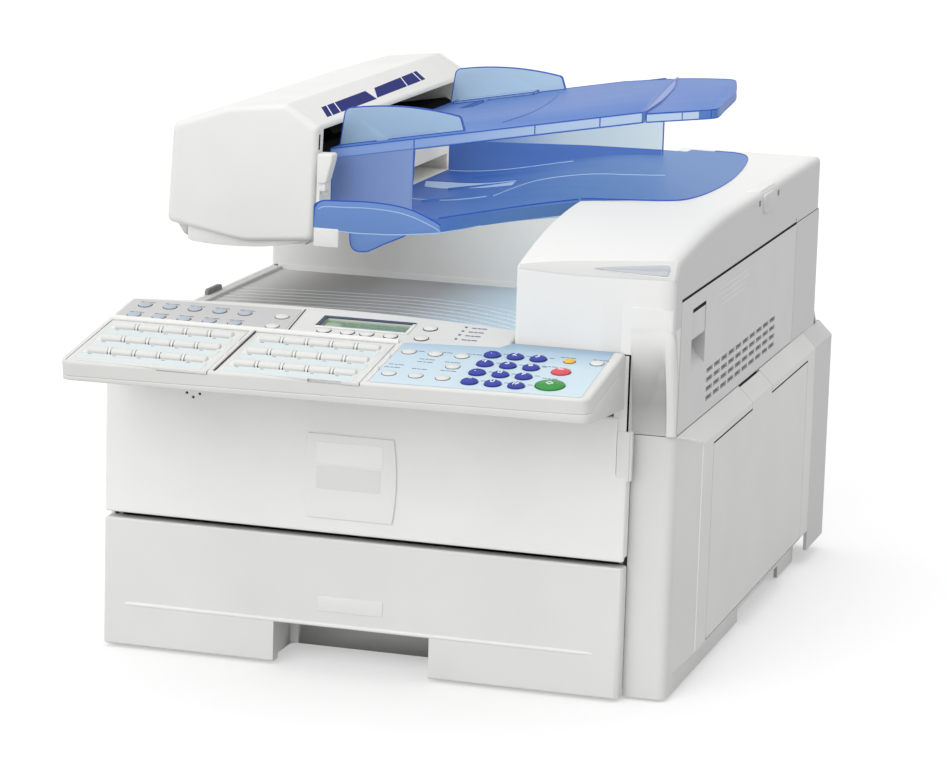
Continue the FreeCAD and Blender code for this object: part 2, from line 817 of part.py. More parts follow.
def feeder_base():
    """Return the feeder's lower body with its paper slot, roller cradle, sensor seat and post."""
    front, back = feeder_span()
    base = feeder_bottom
    shelf = feeder_hinge_z - 7
    mouth = base + 62.5
    corners = [(16, base, 8), (106, base, 6), (109, base + 12), (109, mouth - 5.5, 4), (100, mouth, 4),
               (40, mouth - 10.5, 10),
               (feeder_hinge_x + 6, shelf), (feeder_hinge_x - 5.8, shelf),
               (feeder_hinge_x - 7.1, base + 14, 4)]
    body = prism("xz", front, back, corners)
    middle = (front + back) / 2
    reach = feed_roller_radius + 1.5
    cuts = [
        block(64, 112, middle - slot_half, middle + slot_half, exit_left_z, exit_left_z + 12),
        rod("y", feed_roller_x, feed_roller_z, reach, middle - 60, middle + 60),
        block(feed_roller_x - reach, feed_roller_x + reach, middle - 60, middle + 60, feed_roller_z,
              mouth + 20),
        rod("y", feed_roller_x, feed_roller_z, shaft_radius + run_fit, middle - 75, middle + 75),
        block(38, 54, middle - sensor_half, middle + sensor_half, mouth - 21.5, mouth + 5),
    ]
    low, high = lever_run()
    root = block(108, post_right, front, high, base + 3, lever_z - 6)
    post = block(feeder_right + 1.3, post_right, low, high, base + 3, lever_z - 6)
    ears = [block(feeder_right + 1.5, lever_x + 5.4, y, y + 2.5, lever_z - 7,
                  lever_z + 4) for y in (low, high - 2.5)]
    lever_bore = rod("y", lever_x, lever_z, lever_pin_radius + run_fit, low, high)
    return cut(fused(cut(body, *cuts), root, post, *ears), lever_bore)


def feeder_cover():
    """Return the hinged upper shell of the feeder with its label slope and its hinge barrel."""
    front, back = feeder_span()
    shell = prism("xz", front, back, feeder_section(2.5, 0)).cut(prism("xz", front, back,
                                                                       feeder_section(2.5 - feeder_skin,
                                                                                      0)))
    low_left = block(-10, 70, front, back, feeder_bottom - 10, feeder_hinge_z)
    low_right = block(60, 140, front, back, feeder_bottom - 10, feeder_bottom + 78.5)
    shell = shell.cut([low_left, low_right])
    arm = block(feeder_hinge_x - 5, feeder_hinge_x, front, back, feeder_hinge_z, feeder_hinge_z + 6)
    barrel = rod("y", feeder_hinge_x, feeder_hinge_z, 3, front, back)
    pins = [rod("y", feeder_hinge_x, feeder_hinge_z, feeder_pin_radius, front - 3.5, front),
            rod("y", feeder_hinge_x, feeder_hinge_z, feeder_pin_radius, back, back + 3.5)]
    return fused(shell, arm, barrel, *pins)


def feeder_lever():
    """Return the release lever on its cross pin."""
    low, high = lever_run()
    foot, head = lever_z - 3, lever_z + 20
    left = feeder_right + 1.8
    grip = prism("xz", low + 3, high - 3, [(left, foot, 1.5), (left + 6, foot, 2),
                                           (left + 9.5, head - 3, 3), (left + 0.4, head, 2)])
    pin = rod("y", lever_x, lever_z, lever_pin_radius, low, high)
    return fused(grip, pin)


def feed_roller():
    """Return the feeder's rubber roller on its shaft."""
    front, back = feeder_span()
    middle = (front + back) / 2
    return fused(rod("y", feed_roller_x, feed_roller_z, feed_roller_radius, middle - 58, middle + 58),
                 rod("y", feed_roller_x, feed_roller_z, shaft_radius, middle - 74, middle + 74))


def image_sensor():
    """Return the contact sensor bar under the document path."""
    front, back = feeder_span()
    middle = (front + back) / 2
    low = feeder_bottom + 41.0 + seat
    half = sensor_half - seat
    bar = block(38 + seat, 54 - seat, middle - half, middle + half, low, low + 8.8)
    window = block(42, 50, middle - half + 6, middle + half - 6, low + 8.8, low + 10)
    return fused(bar, window)


def tray_plan():
    """Return the document tray's outline from above, with its bowed right end."""
    corners = [(tray_left, tray_front), (tray_right_front, tray_front, 3),
               (tray_right_back, tray_back - 30, 30),
               (tray_right_back - 46, tray_back), (tray_left, tray_back)]
    return corners


def tray_slab(left, right, top, bottom, front, back):
    """Return a sloped slab that follows the document tray, between two offsets from its upper face."""
    corners = [(left, tray_top(left) + bottom), (right, tray_top(right) + bottom),
               (right, tray_top(right) + top),
               (left, tray_top(left) + top)]
    return prism("xz", front, back, corners)


def tongue_places():
    """Return the front edges of the extension's two tongues."""
    return tray_front + 58, tray_back - 92


def document_tray():
    """Return the sloped tray with its rim, its runners and the two walls that stand on the exit tray."""
    far = tray_right_front + 20
    plan = prism("xy", feeder_bottom - 20, tray_left_z + 120, tray_plan())
    sheet = tray_slab(tray_left, far, 0, -tray_plate, tray_front, tray_back).common(plan)
    front_rim = tray_slab(tray_left, far, 0, -tray_rim, tray_front, tray_front + 3).common(plan)
    runners = []
    for y in tongue_places():
        for side, lip in ((y - 2.5, y - 2.5), (y + tongue_width + seam, y + tongue_width - 6 + seam)):
            runners.append(tray_slab(runner_left, runner_right, -tray_plate, -tray_plate - 3.5, side,
                                     side + 2.5))
            runners.append(tray_slab(runner_left, runner_right, -tray_plate - 3.1, -tray_plate - 4.6,
                                     lip, lip + 8.5))
    front_wall = prism("xz", tray_front, tray_front + 3,
                       [(exit_left + 3, exit_top(exit_left + 3) + seat),
                        (tray_left + 56.5, exit_top(tray_left + 56.5) + seat),
                                                          (tray_left + 58.5,
                                                           tray_top(tray_left + 58.5) - 1),
                                                           (exit_left + 3,
                                                            tray_top(exit_left + 3) - 1)])
    rear_wall_right = hump_left - 1
    rear_steps = [(exit_left + 30 + (rear_wall_right - exit_left - 30) * i / 12) for i in range(13)]
    rear_corners = [(x, exit_top(x) + 0.3) for x in rear_steps]
    rear_corners += [(rear_wall_right, tray_top(rear_wall_right) - 1),
                     (exit_left + 30, tray_top(exit_left + 30) - 1)]
    rear_wall = prism("xz", tray_back - 4, tray_back - 1.5, rear_corners)
    shell = fused(sheet, front_rim, front_wall, rear_wall, *runners)
    slot_left = tray_left + 25.5
    slots = [tray_slab(slot_left, slot_left + 10, 1, -tray_plate - 1, guide_front - 5,
                       guide_front + guide_travel + 6),
             tray_slab(slot_left, slot_left + 10, 1, -tray_plate - 1, guide_back - guide_travel - 6,
                       guide_back + 5)]
    return cut(shell, *slots)


def document_extension():
    """Return the pull-out end of the tray, bent a little flatter, with its two tongues in the runners."""
    corners = [(tray_right_front, tray_front), (extension_right, tray_front + 4, 12),
               (extension_right - 26, tray_back - 105, 34), (tray_right_back + 14, tray_back - 34),
               (tray_right_back, tray_back - 32)]
    plan = prism("xy", feeder_bottom - 20, tray_left_z + 120, corners)
    bend_z = tray_top(extension_bend_x)
    far = extension_right + 10
    far_z = bend_z + (far - extension_bend_x) * math.tan(math.radians(extension_slope))
    near = tray_right_back - 10
    thick = tray_plate + 3
    side = [(near, tray_top(near) - thick), (extension_bend_x, bend_z - thick), (far, far_z - thick),
            (far, far_z),
            (extension_bend_x, bend_z), (near, tray_top(near))]
    tray_room = prism("xy", feeder_bottom - 20, tray_left_z + 120, tray_plan())
    tray_room.translate(V(swing_gap, 0, 0))
    end = prism("xz", tray_front, tray_back, side).common(plan).cut(tray_room)
    tongues = [tray_slab(runner_left + 12, right, -tray_plate - seat, -tray_plate - 2.9, y + seam,
                         y + tongue_width)
               for y, right in zip(tongue_places(), (tray_right_front + 6, tray_right_back + 24))]
    return fused(end, *tongues)


def guide(face, step):
    """Return one document guide: a bowed blade, its foot on the tray and the peg in the slot."""
    left = tray_left + seam
    right = left + guide_length
    low, high = min(face, face + step * guide_thickness), max(face, face + step * guide_thickness)
    top = tray_top(left) + guide_height
    corners = [(left, tray_top(left) + seat), (right, tray_top(right) + seat),
               (right - 3, top - 0.8, 3), (left + 3.6, top, 5)]
    blade = prism("xz", low, high, corners, {2: (left + guide_length * 0.5, top + 2.8)})
    foot = tray_slab(left + 6, right - 20, seat + 1.6, seat, min(face, face + step * 16),
                     max(face, face + step * 16))
    peg_left = tray_left + 25.5 + 0.6
    peg = tray_slab(peg_left, peg_left + 8.8, seat + 1, -tray_plate - 2.4, min(face, face + step * 4),
                    max(face, face + step * 4))
    return fused(blade, foot, peg)


def exit_top(x):
    """Return the height of the exit tray's upper face: an easy S from the feeder to the top cover."""
    end = hump_top - recess_depth + exit_plate + seat
    share = min(max((x - exit_left) / (hump_left - 8 - exit_left), 0.0), 1.0)
    ease = share * share * (3 - 2 * share)
    return exit_left_z + (end - exit_left_z) * ease


def exit_sheet(thickness):
    """Return the exit tray's S-shaped sheet at a thickness, before its outline is cut."""
    bend = hump_left - 8
    xs = [exit_left + (bend - exit_left) * i / 8 for i in range(9)]
    upper = Part.BSplineCurve()
    upper.interpolate([V(x, exit_front, exit_top(x)) for x in xs])
    lower = Part.BSplineCurve()
    lower.interpolate([V(x, exit_front, exit_top(x) - thickness) for x in reversed(xs)])
    high, low = exit_top(exit_right), exit_top(exit_right) - thickness
    start_high, start_low = exit_top(exit_left), exit_top(exit_left) - thickness
    edges = [
        upper.toShape(),
        Part.LineSegment(V(bend, exit_front, high), V(exit_right, exit_front, high)).toShape(),
        Part.LineSegment(V(exit_right, exit_front, high), V(exit_right, exit_front, low)).toShape(),
        Part.LineSegment(V(exit_right, exit_front, low), V(bend, exit_front, low)).toShape(),
        lower.toShape(),
        Part.LineSegment(V(exit_left, exit_front, start_low),
                         V(exit_left, exit_front, start_high)).toShape(),
    ]
    return Part.Face(Part.Wire(edges)).extrude(V(0, exit_back - exit_front, 0))


def exit_tray():
    """Return the wavy lower tray, with its front skirt, its raised rim, its ribs and the fin under it."""
    sheet = exit_sheet(exit_plate)
    edge = riser_front - 168
    plan = [(exit_left, exit_front), (exit_left + 92, exit_front), (hump_left, edge),
            (exit_right - 13, edge + 36, 22),
            (exit_right, edge + 140), (exit_right - 19, exit_back, 26), (exit_left, exit_back)]
    high = exit_left_z + 120
    bow = {1: (hump_left - 31, (exit_front + edge) / 2 - 10)}
    trimmed = sheet.common(prism("xy", exit_left_z - 80, high, plan, bow))
    inner = [(exit_left - 1, exit_front + wall), (exit_left + 92, exit_front + wall),
             (hump_left, edge + wall),
             (hump_left, exit_back + 1), (exit_left - 1, exit_back + 1)]
    inner_bow = {1: (hump_left - 32.5, (exit_front + edge) / 2 - 8)}
    skirt_plan = [(exit_left, exit_front), (exit_left + 92, exit_front), (hump_left, edge),
                  (hump_left - 4, exit_back),
                  (exit_left, exit_back)]
    skirt_body = exit_sheet(exit_skirt).common(prism("xy", exit_left_z - 80, high, skirt_plan, bow))
    edge_skirt = skirt_body.cut(prism("xy", exit_left_z - 80, high, inner, inner_bow))
    front, back = exit_front, exit_front + wall
    rim_foot = [exit_left + 84 * i / 6 for i in range(7)]
    rim = prism("xz", front, back, [(x, exit_top(x) - exit_plate / 2) for x in rim_foot] + [
        (exit_left + 87, exit_top(exit_left + 87) + 0.5),
        (exit_left + 53, exit_left_z + 17.5, 20),
        (exit_left, exit_left_z + 19, 3)])
    fin_left = exit_left + 24.5
    fin = prism("xz", front + 14, back + 14, [(fin_left, exit_top(fin_left) - 1),
                                              (fin_left + 2, exit_left_z - 11, 3),
                                              (fin_left + 13, exit_left_z - 11, 3),
                                              (fin_left + 35, exit_top(fin_left + 35) - 1)])
    ribs = []
    for i in range(3):
        y = (exit_front + exit_back) / 2 - 50 + 62 * i
        left, right = exit_left + 37.5, exit_left + 117.5
        ribs.append(prism("xz", y, y + 2, [(left, exit_top(left) - 1), (right, exit_top(right) - 1),
                                           (right, exit_top(right) + 1.2),
                                           (left, exit_top(left) + 3.0)]))
    low, high = lever_run()
    post_room = block(exit_left - 1, post_right + swing_gap, low - swing_gap, high + swing_gap,
                      feeder_bottom - 20, lever_z + 4)
    return fused(trimmed, edge_skirt, rim, fin, *ribs).cut(post_room)


def panel_plan(inset):
    """Return the panel's outline on its own plane: bowed back edge, notch for the top cover."""
    notch = (hump_front_left - seam - 3 - panel_pivot_y) / math.cos(math.radians(panel_tilt)) - inset
    return [(panel_left + inset, panel_front_left + inset, 8), (panel_right - inset, inset, 6),
            (panel_right - inset, notch),
            (hump_left - 1.2 - inset, notch), (hump_left - 1.2 - inset, panel_depth - inset),
            (panel_left + inset, panel_depth - inset, 5)]


def panel_slab(inset, high, low):
    """Return the panel's outline as a flat slab between two heights on its own plane."""
    bow = {4: ((panel_left + hump_left) / 2, panel_depth + panel_bow - inset)}
    return prism("xy", low, high, panel_plan(inset), bow)


def flip_rooms():
    """Return the left edges of the two one-touch plates' places."""
    return [flip_left, flip_left + flip_width + flip_bar]


def flip_front(x):
    """Return where a one-touch plate's front edge lies, just behind the panel's front edge."""
    return panel_front_left * (panel_right - x) / (panel_right - panel_left) + 3.0


def bar_keys(first):
    """Return the left ends and front edges of the fifteen one-touch keys of a plate."""
    left = first + (flip_width - 5 * bar_pitch) / 2
    return [(left + bar_pitch * i + (bar_pitch - bar_width) / 2, bar_row_front + bar_row_pitch * row)
            for row in range(3) for i in range(5)]


def dial_places():
    """Return the dial keys' centres, from the far left to the near right."""
    return [(dial_left + dial_pitch_u * column,
             dial_front + dial_pitch_v * (3 - row)) for row in range(4) for column in range(3)]


field_left = panel_right - 132.5
field_places = [(field_left + 17.5 * i, v) for v in (55.7, 14.6) for i in range(3)]
field_places.append((field_left + 35.0, 36.0))
screen_places = [(153.0, 81.2), (169.0, 81.2), (182.0, 81.2), (198.0, 81.2)]
side_places = [(218.4, 101.2), (218.4, 82.0), (118.0, 99.7), (118.0, 80.6)]
function_places = field_places + screen_places + side_places
user_places = [(22.6 + 17.4 * i, v) for v in (100.2, 80.2) for i in range(5)]
start_place = (panel_right - 29.5, 17.9, 9.2)
stop_place = (panel_right - 29.4, 42.8, 6.0)
energy_place = (panel_right - 29.4, 62.8, 3.6)
copy_place = (panel_right - 11.8, 63.5, 4.2)
screen = (147.0, 205.6, 88.4, 105.4)


def panel_top():
    """Return the panel's face: a skirted plate with its windows, key holes and one-touch recesses."""
    face = panel_slab(0, 0, -panel_skirt).cut(panel_slab(wall, -panel_plate, -panel_skirt))
    holes = []
    depth = -panel_plate - 1
    rounds = [(u, v, round_key_radius) for u, v in function_places + user_places]
    rounds += [(u, v, dial_key_radius) for u, v in dial_places()]
    rounds += [start_place, stop_place, energy_place, copy_place]
    for u, v, radius in rounds:
        holes.append(rod("z", u, v, radius + key_gap, depth, 1))
    holes.append(block(screen[0], screen[1], screen[2], screen[3], depth, 1))
    for first in flip_rooms():
        last = first + flip_width
        front = flip_front(first)
        holes.append(block(first, last, front - seam, flip_hinge_v + 2.2, -flip_plate - seam, 1))
        pin_reach = 1.5
        holes.append(rod("x", flip_hinge_v, -flip_plate / 2 - seat, flip_pin_radius + run_fit,
                         first - pin_reach, last + pin_reach))
        for row in range(3):
            v = bar_row_front + bar_row_pitch * row
            left = first + (flip_width - 5 * bar_pitch) / 2
            holes.append(block(left, left + 5 * bar_pitch, v - key_gap, v + bar_depth + key_gap, depth,
                               1))
    return tilted(face.cut(holes))


def panel_base():
    """Return the wedge-shaped pan under the panel's face, with its floor on the beam."""
    tilt = math.radians(panel_tilt)
    low = -70.0
    outer = tilted(panel_slab(0, -panel_skirt - seat, low))
    inner = tilted(panel_slab(wall, 0, low))
    front = panel_pivot_y + panel_front_left - 5
    back = panel_pivot_y + (panel_depth + panel_bow) * math.cos(tilt) + 20
    under = prism("yz", panel_left - 1, panel_right + 1,
                  [(front, panel_nose + 1.5, 1), (chassis_front, panel_floor), (back, panel_floor),
                   (back, 300), (front, 300)])
    hollow = prism("yz", panel_left, panel_right,
                   [(front, panel_nose + 1.5 + wall), (chassis_front, panel_floor + wall),
                    (back, panel_floor + wall),
                                                   (back, 300), (front, 300)])
    pan = outer.common(under).cut(inner.common(hollow))
    return pan


def lcd_module():
    """Return the display: its glass in the window and its frame under the plate."""
    glass = block(screen[0] + seat, screen[1] - seat, screen[2] + seat, screen[3] - seat,
                  -panel_plate - seat, -1.2)
    frame = block(screen[0] - 4, screen[1] + 4, screen[2] - 0.9, screen[3] + 4, -panel_plate - seat - 3,
                  -panel_plate - seat)
    return tilted(fused(glass, frame))


def round_key(u, v, radius, rise):
    """Return a domed round key with the flange that keeps it under the plate."""
    low = -panel_plate - seat
    crown = rise * 0.6
    ball_radius = (radius * radius + crown * crown) / (2 * crown)
    ball = Part.makeSphere(ball_radius)
    ball.rotate(V(0, 0, 0), V(1, 0, 0), 90)
    ball.translate(V(u, v, rise - ball_radius))
    cap = rod("z", u, v, radius, rise - crown - 0.5, rise + 1).common(ball)
    stem = rod("z", u, v, radius, low - 1, rise - crown - 0.5)
    flange = rod("z", u, v, radius + key_gap + key_flange, low - 1, low)
    return tilted(fused(stem, cap, flange))


def bar_key(u, v):
    """Return a one-touch key: a bar with a bevelled top on a flat foot under the plate."""
    low = -panel_plate - seat
    top = key_rise - 0.6
    stem = prism("yz", u, u + bar_width, [(v, low), (v + bar_depth, low), (v + bar_depth, top - 0.8),
                                          (v + bar_depth - 1.2, top),
                                          (v + 1.2, top), (v, top - 0.8)])
    foot = block(u, u + bar_width, v - key_gap - key_flange, v + bar_depth + key_gap + key_flange,
                 low - 1, low)
    return tilted(fused(stem, foot))


def flip_cover(first, tab):
    """Return a hinged label plate with three key slots, two rear pins and a finger cut in front."""
    last = first + flip_width
    low, high = -flip_plate - seat, -seat
    front = flip_front(first)
    sheet = block(first + seam, last - seam, front, flip_hinge_v, low, high)
    barrel = rod("x", flip_hinge_v, (low + high) / 2, flip_plate / 2, first + seam, last - seam)
    pins = [rod("x", flip_hinge_v, (low + high) / 2, flip_pin_radius, first - 1.2, first + seam),
            rod("x", flip_hinge_v, (low + high) / 2, flip_pin_radius, last - seam, last + 1.2)]
    left = first + (flip_width - 5 * bar_pitch) / 2
    slots = []
    for row in range(3):
        v = bar_row_front + bar_row_pitch * row
        slots.append(block(left - 1, left + 5 * bar_pitch + 1, v - 1.4, v + bar_depth + 1.4, low - 1,
                           high + 1))
    if tab:
        slots.append(block(last - 34, last - 12, front - 1, front + 3, low - 1, high + 1))
    return tilted(fused(cut(fused(sheet, barrel), *slots), *pins))


def front_cover():
    """Return the front cover: a shallow pan with its notch, its sound holes and its hinge lugs."""
    face = prism("yz", 0, cover_width, [(0, cover_bottom, wall - 0.2), (wall, cover_bottom),
                                        (wall, cover_top), (0, cover_top, 1)])
    sides = [block(x, x + wall, 1, cover_return, cover_bottom + 3, cover_top) for x in (0,
                                                                                        cover_width - wall)]
    brace = block(wall, cover_width - wall, wall, cover_return, cover_top - wall, cover_top)
    shell = fused(face, *sides, brace)
    holes = [rod("y", 57 + 4.5 * i, cover_top - 9.5 - (2.5 if i == 1 else 0), 1.0, -1,
                 wall + 1) for i in range(3)]
    notch = prism("xz", -1, cover_return + 5, [(cover_width - 7.5, cover_top - 38.5, 2),
                                               (cover_width + 1, cover_top - 38.5),
                                               (cover_width + 1, cover_top + 1),
                                               (cover_width - 7.5, cover_top + 1)])
    edge = block(cover_width - 7.5 - wall, cover_width - 7.5, wall - 1, cover_return, cover_top - 37,
                 cover_top)
    shell = fused(cut(shell, notch, *holes), edge)
    lugs = []
    for inner, outer in ((plate_left + seam, chassis_inset + 0.3),
                         (plate_right - seam, cover_width - chassis_inset - 0.3)):
        step = math.copysign(4.0, inner - outer)
        lug = block(min(inner, inner + step), max(inner, inner + step), wall - 1, hinge_y + 3,
                    hinge_z - 3, hinge_z + 3)
        lugs.append(lug)
        lugs.append(rod("x", hinge_y, hinge_z, cover_pin_radius, min(inner, outer), max(inner, outer)))
    return fused(shell, *lugs)


def badge_plate():
    """Return the bare raised plate on the front cover, with bowed sides."""
    left, right = badge_left, badge_left + badge_width
    low, high = badge_bottom, badge_bottom + badge_height
    middle = (low + high) / 2
    corners = [(left + 2, low), (right - 2, low), (right - 2, high), (left + 2, high)]
    bows = {0: ((left + right) / 2, low - 1), 1: (right, middle), 2: ((left + right) / 2, high + 1),
            3: (left, middle)}
    return prism("xz", -1.4, 0, corners, bows)


def lift_plate_edges():
    """Return the left, right, front and back edges of the lift plate."""
    right = cover_width - cassette_inset - wall - 4
    middle = cassette_front + (cassette_length - cassette_front) / 2 + 12
    return right - sheet_length + 12, right, middle - sheet_width / 2 + 2, middle + sheet_width / 2 - 2


def cassette():
    """Return the paper tray with its front panel, finger notch, open box and paper fences."""
    panel = prism("xy", skirt, cassette_height,
                  [(0, 0, 1), (cover_width, 0, 5), (cover_width, cassette_front), (0, cassette_front)])
    left, right = cassette_inset, cover_width - cassette_inset
    floor_z = rail_top + seat
    back = cassette_length
    box = block(left, right, cassette_front - 1, back, floor_z, floor_z + cassette_wall_height)
    room = block(left + wall, right - wall, cassette_front + 1, back - wall, floor_z + wall,
                 floor_z + cassette_wall_height + 1)
    tray = box.cut(room)
    notch_right = notch_left + notch_width
    hood = block(notch_left - wall, notch_right + wall, 1, notch_depth + wall, floor_z,
                 skirt + notch_height + wall)
    body = fused(panel, tray, hood)
    notch = prism("xy", skirt - 1, skirt + notch_height,
                  [(notch_left, -1), (notch_right, -1), (notch_right, notch_depth, 6),
                                                          (notch_left, notch_depth, 6)])
    middle = cassette_front + (back - cassette_front) / 2 + 12
    fences = []
    for y in (middle - sheet_width / 2 - 3, middle + sheet_width / 2):
        fences.append(block(right - 190, right - 110, y, y + 3, floor_z + wall - 0.5, floor_z + 44))
    sheet_end = right - wall - 3 - sheet_length
    fences.append(block(sheet_end - 3, sheet_end, middle - 30, middle + 30, floor_z + wall - 0.5,
                        floor_z + 44))
    pivot_x, _, plate_front, plate_back = lift_plate_edges()
    pivot_z = floor_z + wall + seat + lift_barrel
    posts = []
    for y in (plate_front - 4, plate_back + seam):
        post = block(pivot_x - 4, pivot_x + 4, y, y + 4 - seam, floor_z + wall - 0.5, pivot_z + 4)
        posts.append(cut(post, rod("y", pivot_x, pivot_z, lift_pin_radius + run_fit, y, y + 4)))
    return fused(body.cut(notch), *fences, *posts)


def lift_plate():
    """Return the plate that raises the paper, with the barrel and pins it turns on at its left end."""
    left, right, front, back = lift_plate_edges()
    floor_z = rail_top + seat + wall + seat
    sheet = block(left, right, front, back, floor_z, floor_z + lift_plate_thickness)
    barrel = rod("y", left, floor_z + lift_barrel, lift_barrel, front, back)
    pin = rod("y", left, floor_z + lift_barrel, lift_pin_radius, front - 3.5, back + 3.5)
    return fused(sheet, barrel, pin)


def toner_cartridge():
    """Return the drum and toner unit: a hopper, the drum's round flank and its handle."""
    front, back = bracket_front + 12, bracket_back - 16
    left, right = toner_left, toner_left + toner_width
    low = deck_top + seat
    hopper = prism("xz", front, back, [(left, low), (right - 8, low, 6), (right, low + 30, 10),
                                       (right - 14, low + 62, 12),
                                       (left + 10, low + 66, 8), (left, low + 52, 4)])
    drum = rod("y", right - 14, low + 34, 12, front - 4, back + 4)
    handle = block(left + 16, left + 48, front - 8, front, low + 40, low + 56)
    return fused(hopper, drum, handle)


def laser_unit():
    """Return the closed scanner box with its mirror housing and its slit."""
    left, right = 62.0, toner_left - 20
    front, back = bracket_front + 40, bracket_back - 8
    low = deck_top + seat
    box = prism("xz", front, back, [(left, low), (right, low), (right, low + 42, 6),
                                    (right - 32, low + 58, 8), (left, low + 58, 4)])
    hub = rod("z", (left + right) / 2 - 27, (front + back) / 2, 26, low + 52, low + 62)
    slit = block(right - 4, right + 8, front + 20, back - 18, low + 24, low + 29)
    return fused(cut(box, slit), hub)


def roller(x, z, radius, front, back, shaft_front, shaft_back):
    """Return a roller on its shaft, along the paper's width."""
    return fused(rod("y", x, z, radius, front, back),
                 rod("y", x, z, shaft_radius, shaft_front, shaft_back))


def engine_roller(x, z, radius):
    """Return a roller that runs in the two brackets."""
    return roller(x, z, radius, bracket_front + plate + 8, bracket_back - 8, bracket_front - 2,
                  bracket_back + plate + 2)


def circuit_boards():
    """Return the main board on the left plate and the power board on the deck, on their posts."""
    x = plate_left + 6
    back = chassis_back - 78
    low, high = deck_top + 10, beam_top - 9
    main = block(x, x + 1.6, 60, back, low, high)
    main_posts = [rod("x", y, z, 3, plate_left, x) for y in (70, back - 10) for z in (low + 8,
                                                                                      high - 8)]
    chips = [block(x + 1.6, x + 5, y, y + 28, low + 20, low + 48) for y in (100, 180, back - 100)]
    front, rear = chassis_back - 93, chassis_back - 8
    z = deck_top + 6
    power = block(60, 260, front, rear, z, z + 1.6)
    power_posts = [rod("z", a, b, 3, deck_top, z) for a in (70, 250) for b in (front + 8, rear - 8)]
    transformer = block(90, 130, front + 17, front + 57, z + 1.6, z + 32)
    capacitors = [rod("z", 160 + 34 * i, front + 40, 12, z + 1.6, z + 28) for i in range(3)]
    return group(fused(main, *main_posts, *chips), fused(power, *power_posts, transformer, *capacitors))


parts = {
    "chassis_plates": chassis_plates(),
    "chassis_deck": chassis_deck(),
    "rubber_feet": rubber_feet(),
    "left_cover": left_cover(),
    "rear_cover": rear_cover(),
    "rear_sockets": rear_sockets(),
    "right_cover": right_cover(),
    "side_door": side_door(),
    "vent_door": vent_door(),
    "top_cover": top_cover(),
    "status_lens": status_lens(),
    "output_tray": output_tray(),
    "rear_riser": rear_riser(),
    "front_cover": front_cover(),
    "badge_plate": badge_plate(),
    "cassette": cassette(),
    "lift_plate": lift_plate(),
    "feeder_end_caps": feeder_end_caps(),
    "feeder_base": feeder_base(),
    "feeder_cover": feeder_cover(),
    "feeder_lever": feeder_lever(),
    "feed_roller": feed_roller(),
    "image_sensor": image_sensor(),
    "document_tray": document_tray(),
    "document_extension": document_extension(),
    "front_guide": guide(guide_front, 1),
    "rear_guide": guide(guide_back, -1),
    "exit_tray": exit_tray(),
    "panel_top": panel_top(),
    "panel_base": panel_base(),
    "lcd_module": lcd_module(),
    "flip_plate_left": flip_cover(flip_rooms()[0], False),
    "flip_plate_right": flip_cover(flip_rooms()[1], True),
    "one_touch_keys_left": group(*[bar_key(u, v) for u, v in bar_keys(flip_rooms()[0])]),
    "one_touch_keys_right": group(*[bar_key(u, v) for u, v in bar_keys(flip_rooms()[1])]),
    "function_keys": group(*[round_key(u, v, round_key_radius, key_rise) for u, v in function_places]),
    "user_keys": group(*[round_key(u, v, round_key_radius, key_rise) for u, v in user_places]),
    "start_key": round_key(*start_place, key_rise + 0.8),
    "stop_key": round_key(*stop_place, key_rise + 0.8),
    "energy_key": round_key(*energy_place, key_rise + 0.4),
    "copy_key": round_key(*copy_place, key_rise),
    "toner_cartridge": toner_cartridge(),
    "laser_unit": laser_unit(),
    "fuser_roller": engine_roller(fuser_x, fuser_z, fuser_radius),
    "pressure_roller": engine_roller(pressure_x, fuser_z, pressure_radius),
    "exit_roller": engine_roller(exit_roller_x, exit_roller_z, exit_roller_radius),
    "pickup_roller": roller(pickup_x, pickup_z, pickup_radius, 130, 220, 110, 240),
    "circuit_boards": circuit_boards(),
}
dial_names = ["1", "2", "3", "4", "5", "6", "7", "8", "9", "star", "0", "hash"]
for name, (u, v) in zip(dial_names, dial_places()):
    parts["dial_key_" + name] = round_key(u, v, dial_key_radius, key_rise + 1.2)

whole = Part.makeCompound(list(parts.values())).BoundBox
origin = V(-whole.Center.x, -whole.Center.y, -whole.ZMin)

os.makedirs("parts", exist_ok=True)
for node, shape in parts.items():
    shape.translated(origin).exportStep("parts/" + node + ".step")
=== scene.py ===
"""Looks of a desktop laser fax machine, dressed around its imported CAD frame."""

import json
import logging
import math
from dataclasses import dataclass, field
from enum import Enum
from functools import lru_cache
from typing import Callable, Sequence

import bmesh
import bpy
import numpy as np
from mathutils import Matrix, Vector


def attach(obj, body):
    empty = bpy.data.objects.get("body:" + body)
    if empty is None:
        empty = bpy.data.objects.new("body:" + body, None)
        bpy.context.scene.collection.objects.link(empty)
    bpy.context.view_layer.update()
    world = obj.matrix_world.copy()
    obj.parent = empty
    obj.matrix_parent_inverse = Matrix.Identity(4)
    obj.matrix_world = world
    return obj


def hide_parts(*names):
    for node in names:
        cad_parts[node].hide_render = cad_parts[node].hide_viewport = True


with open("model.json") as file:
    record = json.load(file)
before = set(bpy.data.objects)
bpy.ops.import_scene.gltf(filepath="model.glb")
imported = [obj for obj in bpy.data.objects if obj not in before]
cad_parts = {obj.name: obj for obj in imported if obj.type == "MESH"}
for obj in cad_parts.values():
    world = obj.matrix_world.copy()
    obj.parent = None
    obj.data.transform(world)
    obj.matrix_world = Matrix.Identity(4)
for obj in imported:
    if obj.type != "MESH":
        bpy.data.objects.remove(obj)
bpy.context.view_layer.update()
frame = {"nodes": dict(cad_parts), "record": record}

log = logging.getLogger("fax_machine")
Array = np.ndarray
Place = Callable[[Array], Array]
Tree = bpy.types.NodeTree
Socket = bpy.types.NodeSocket
Colour = tuple[float, float, float, float]
Rect = tuple[float, float, float, float]

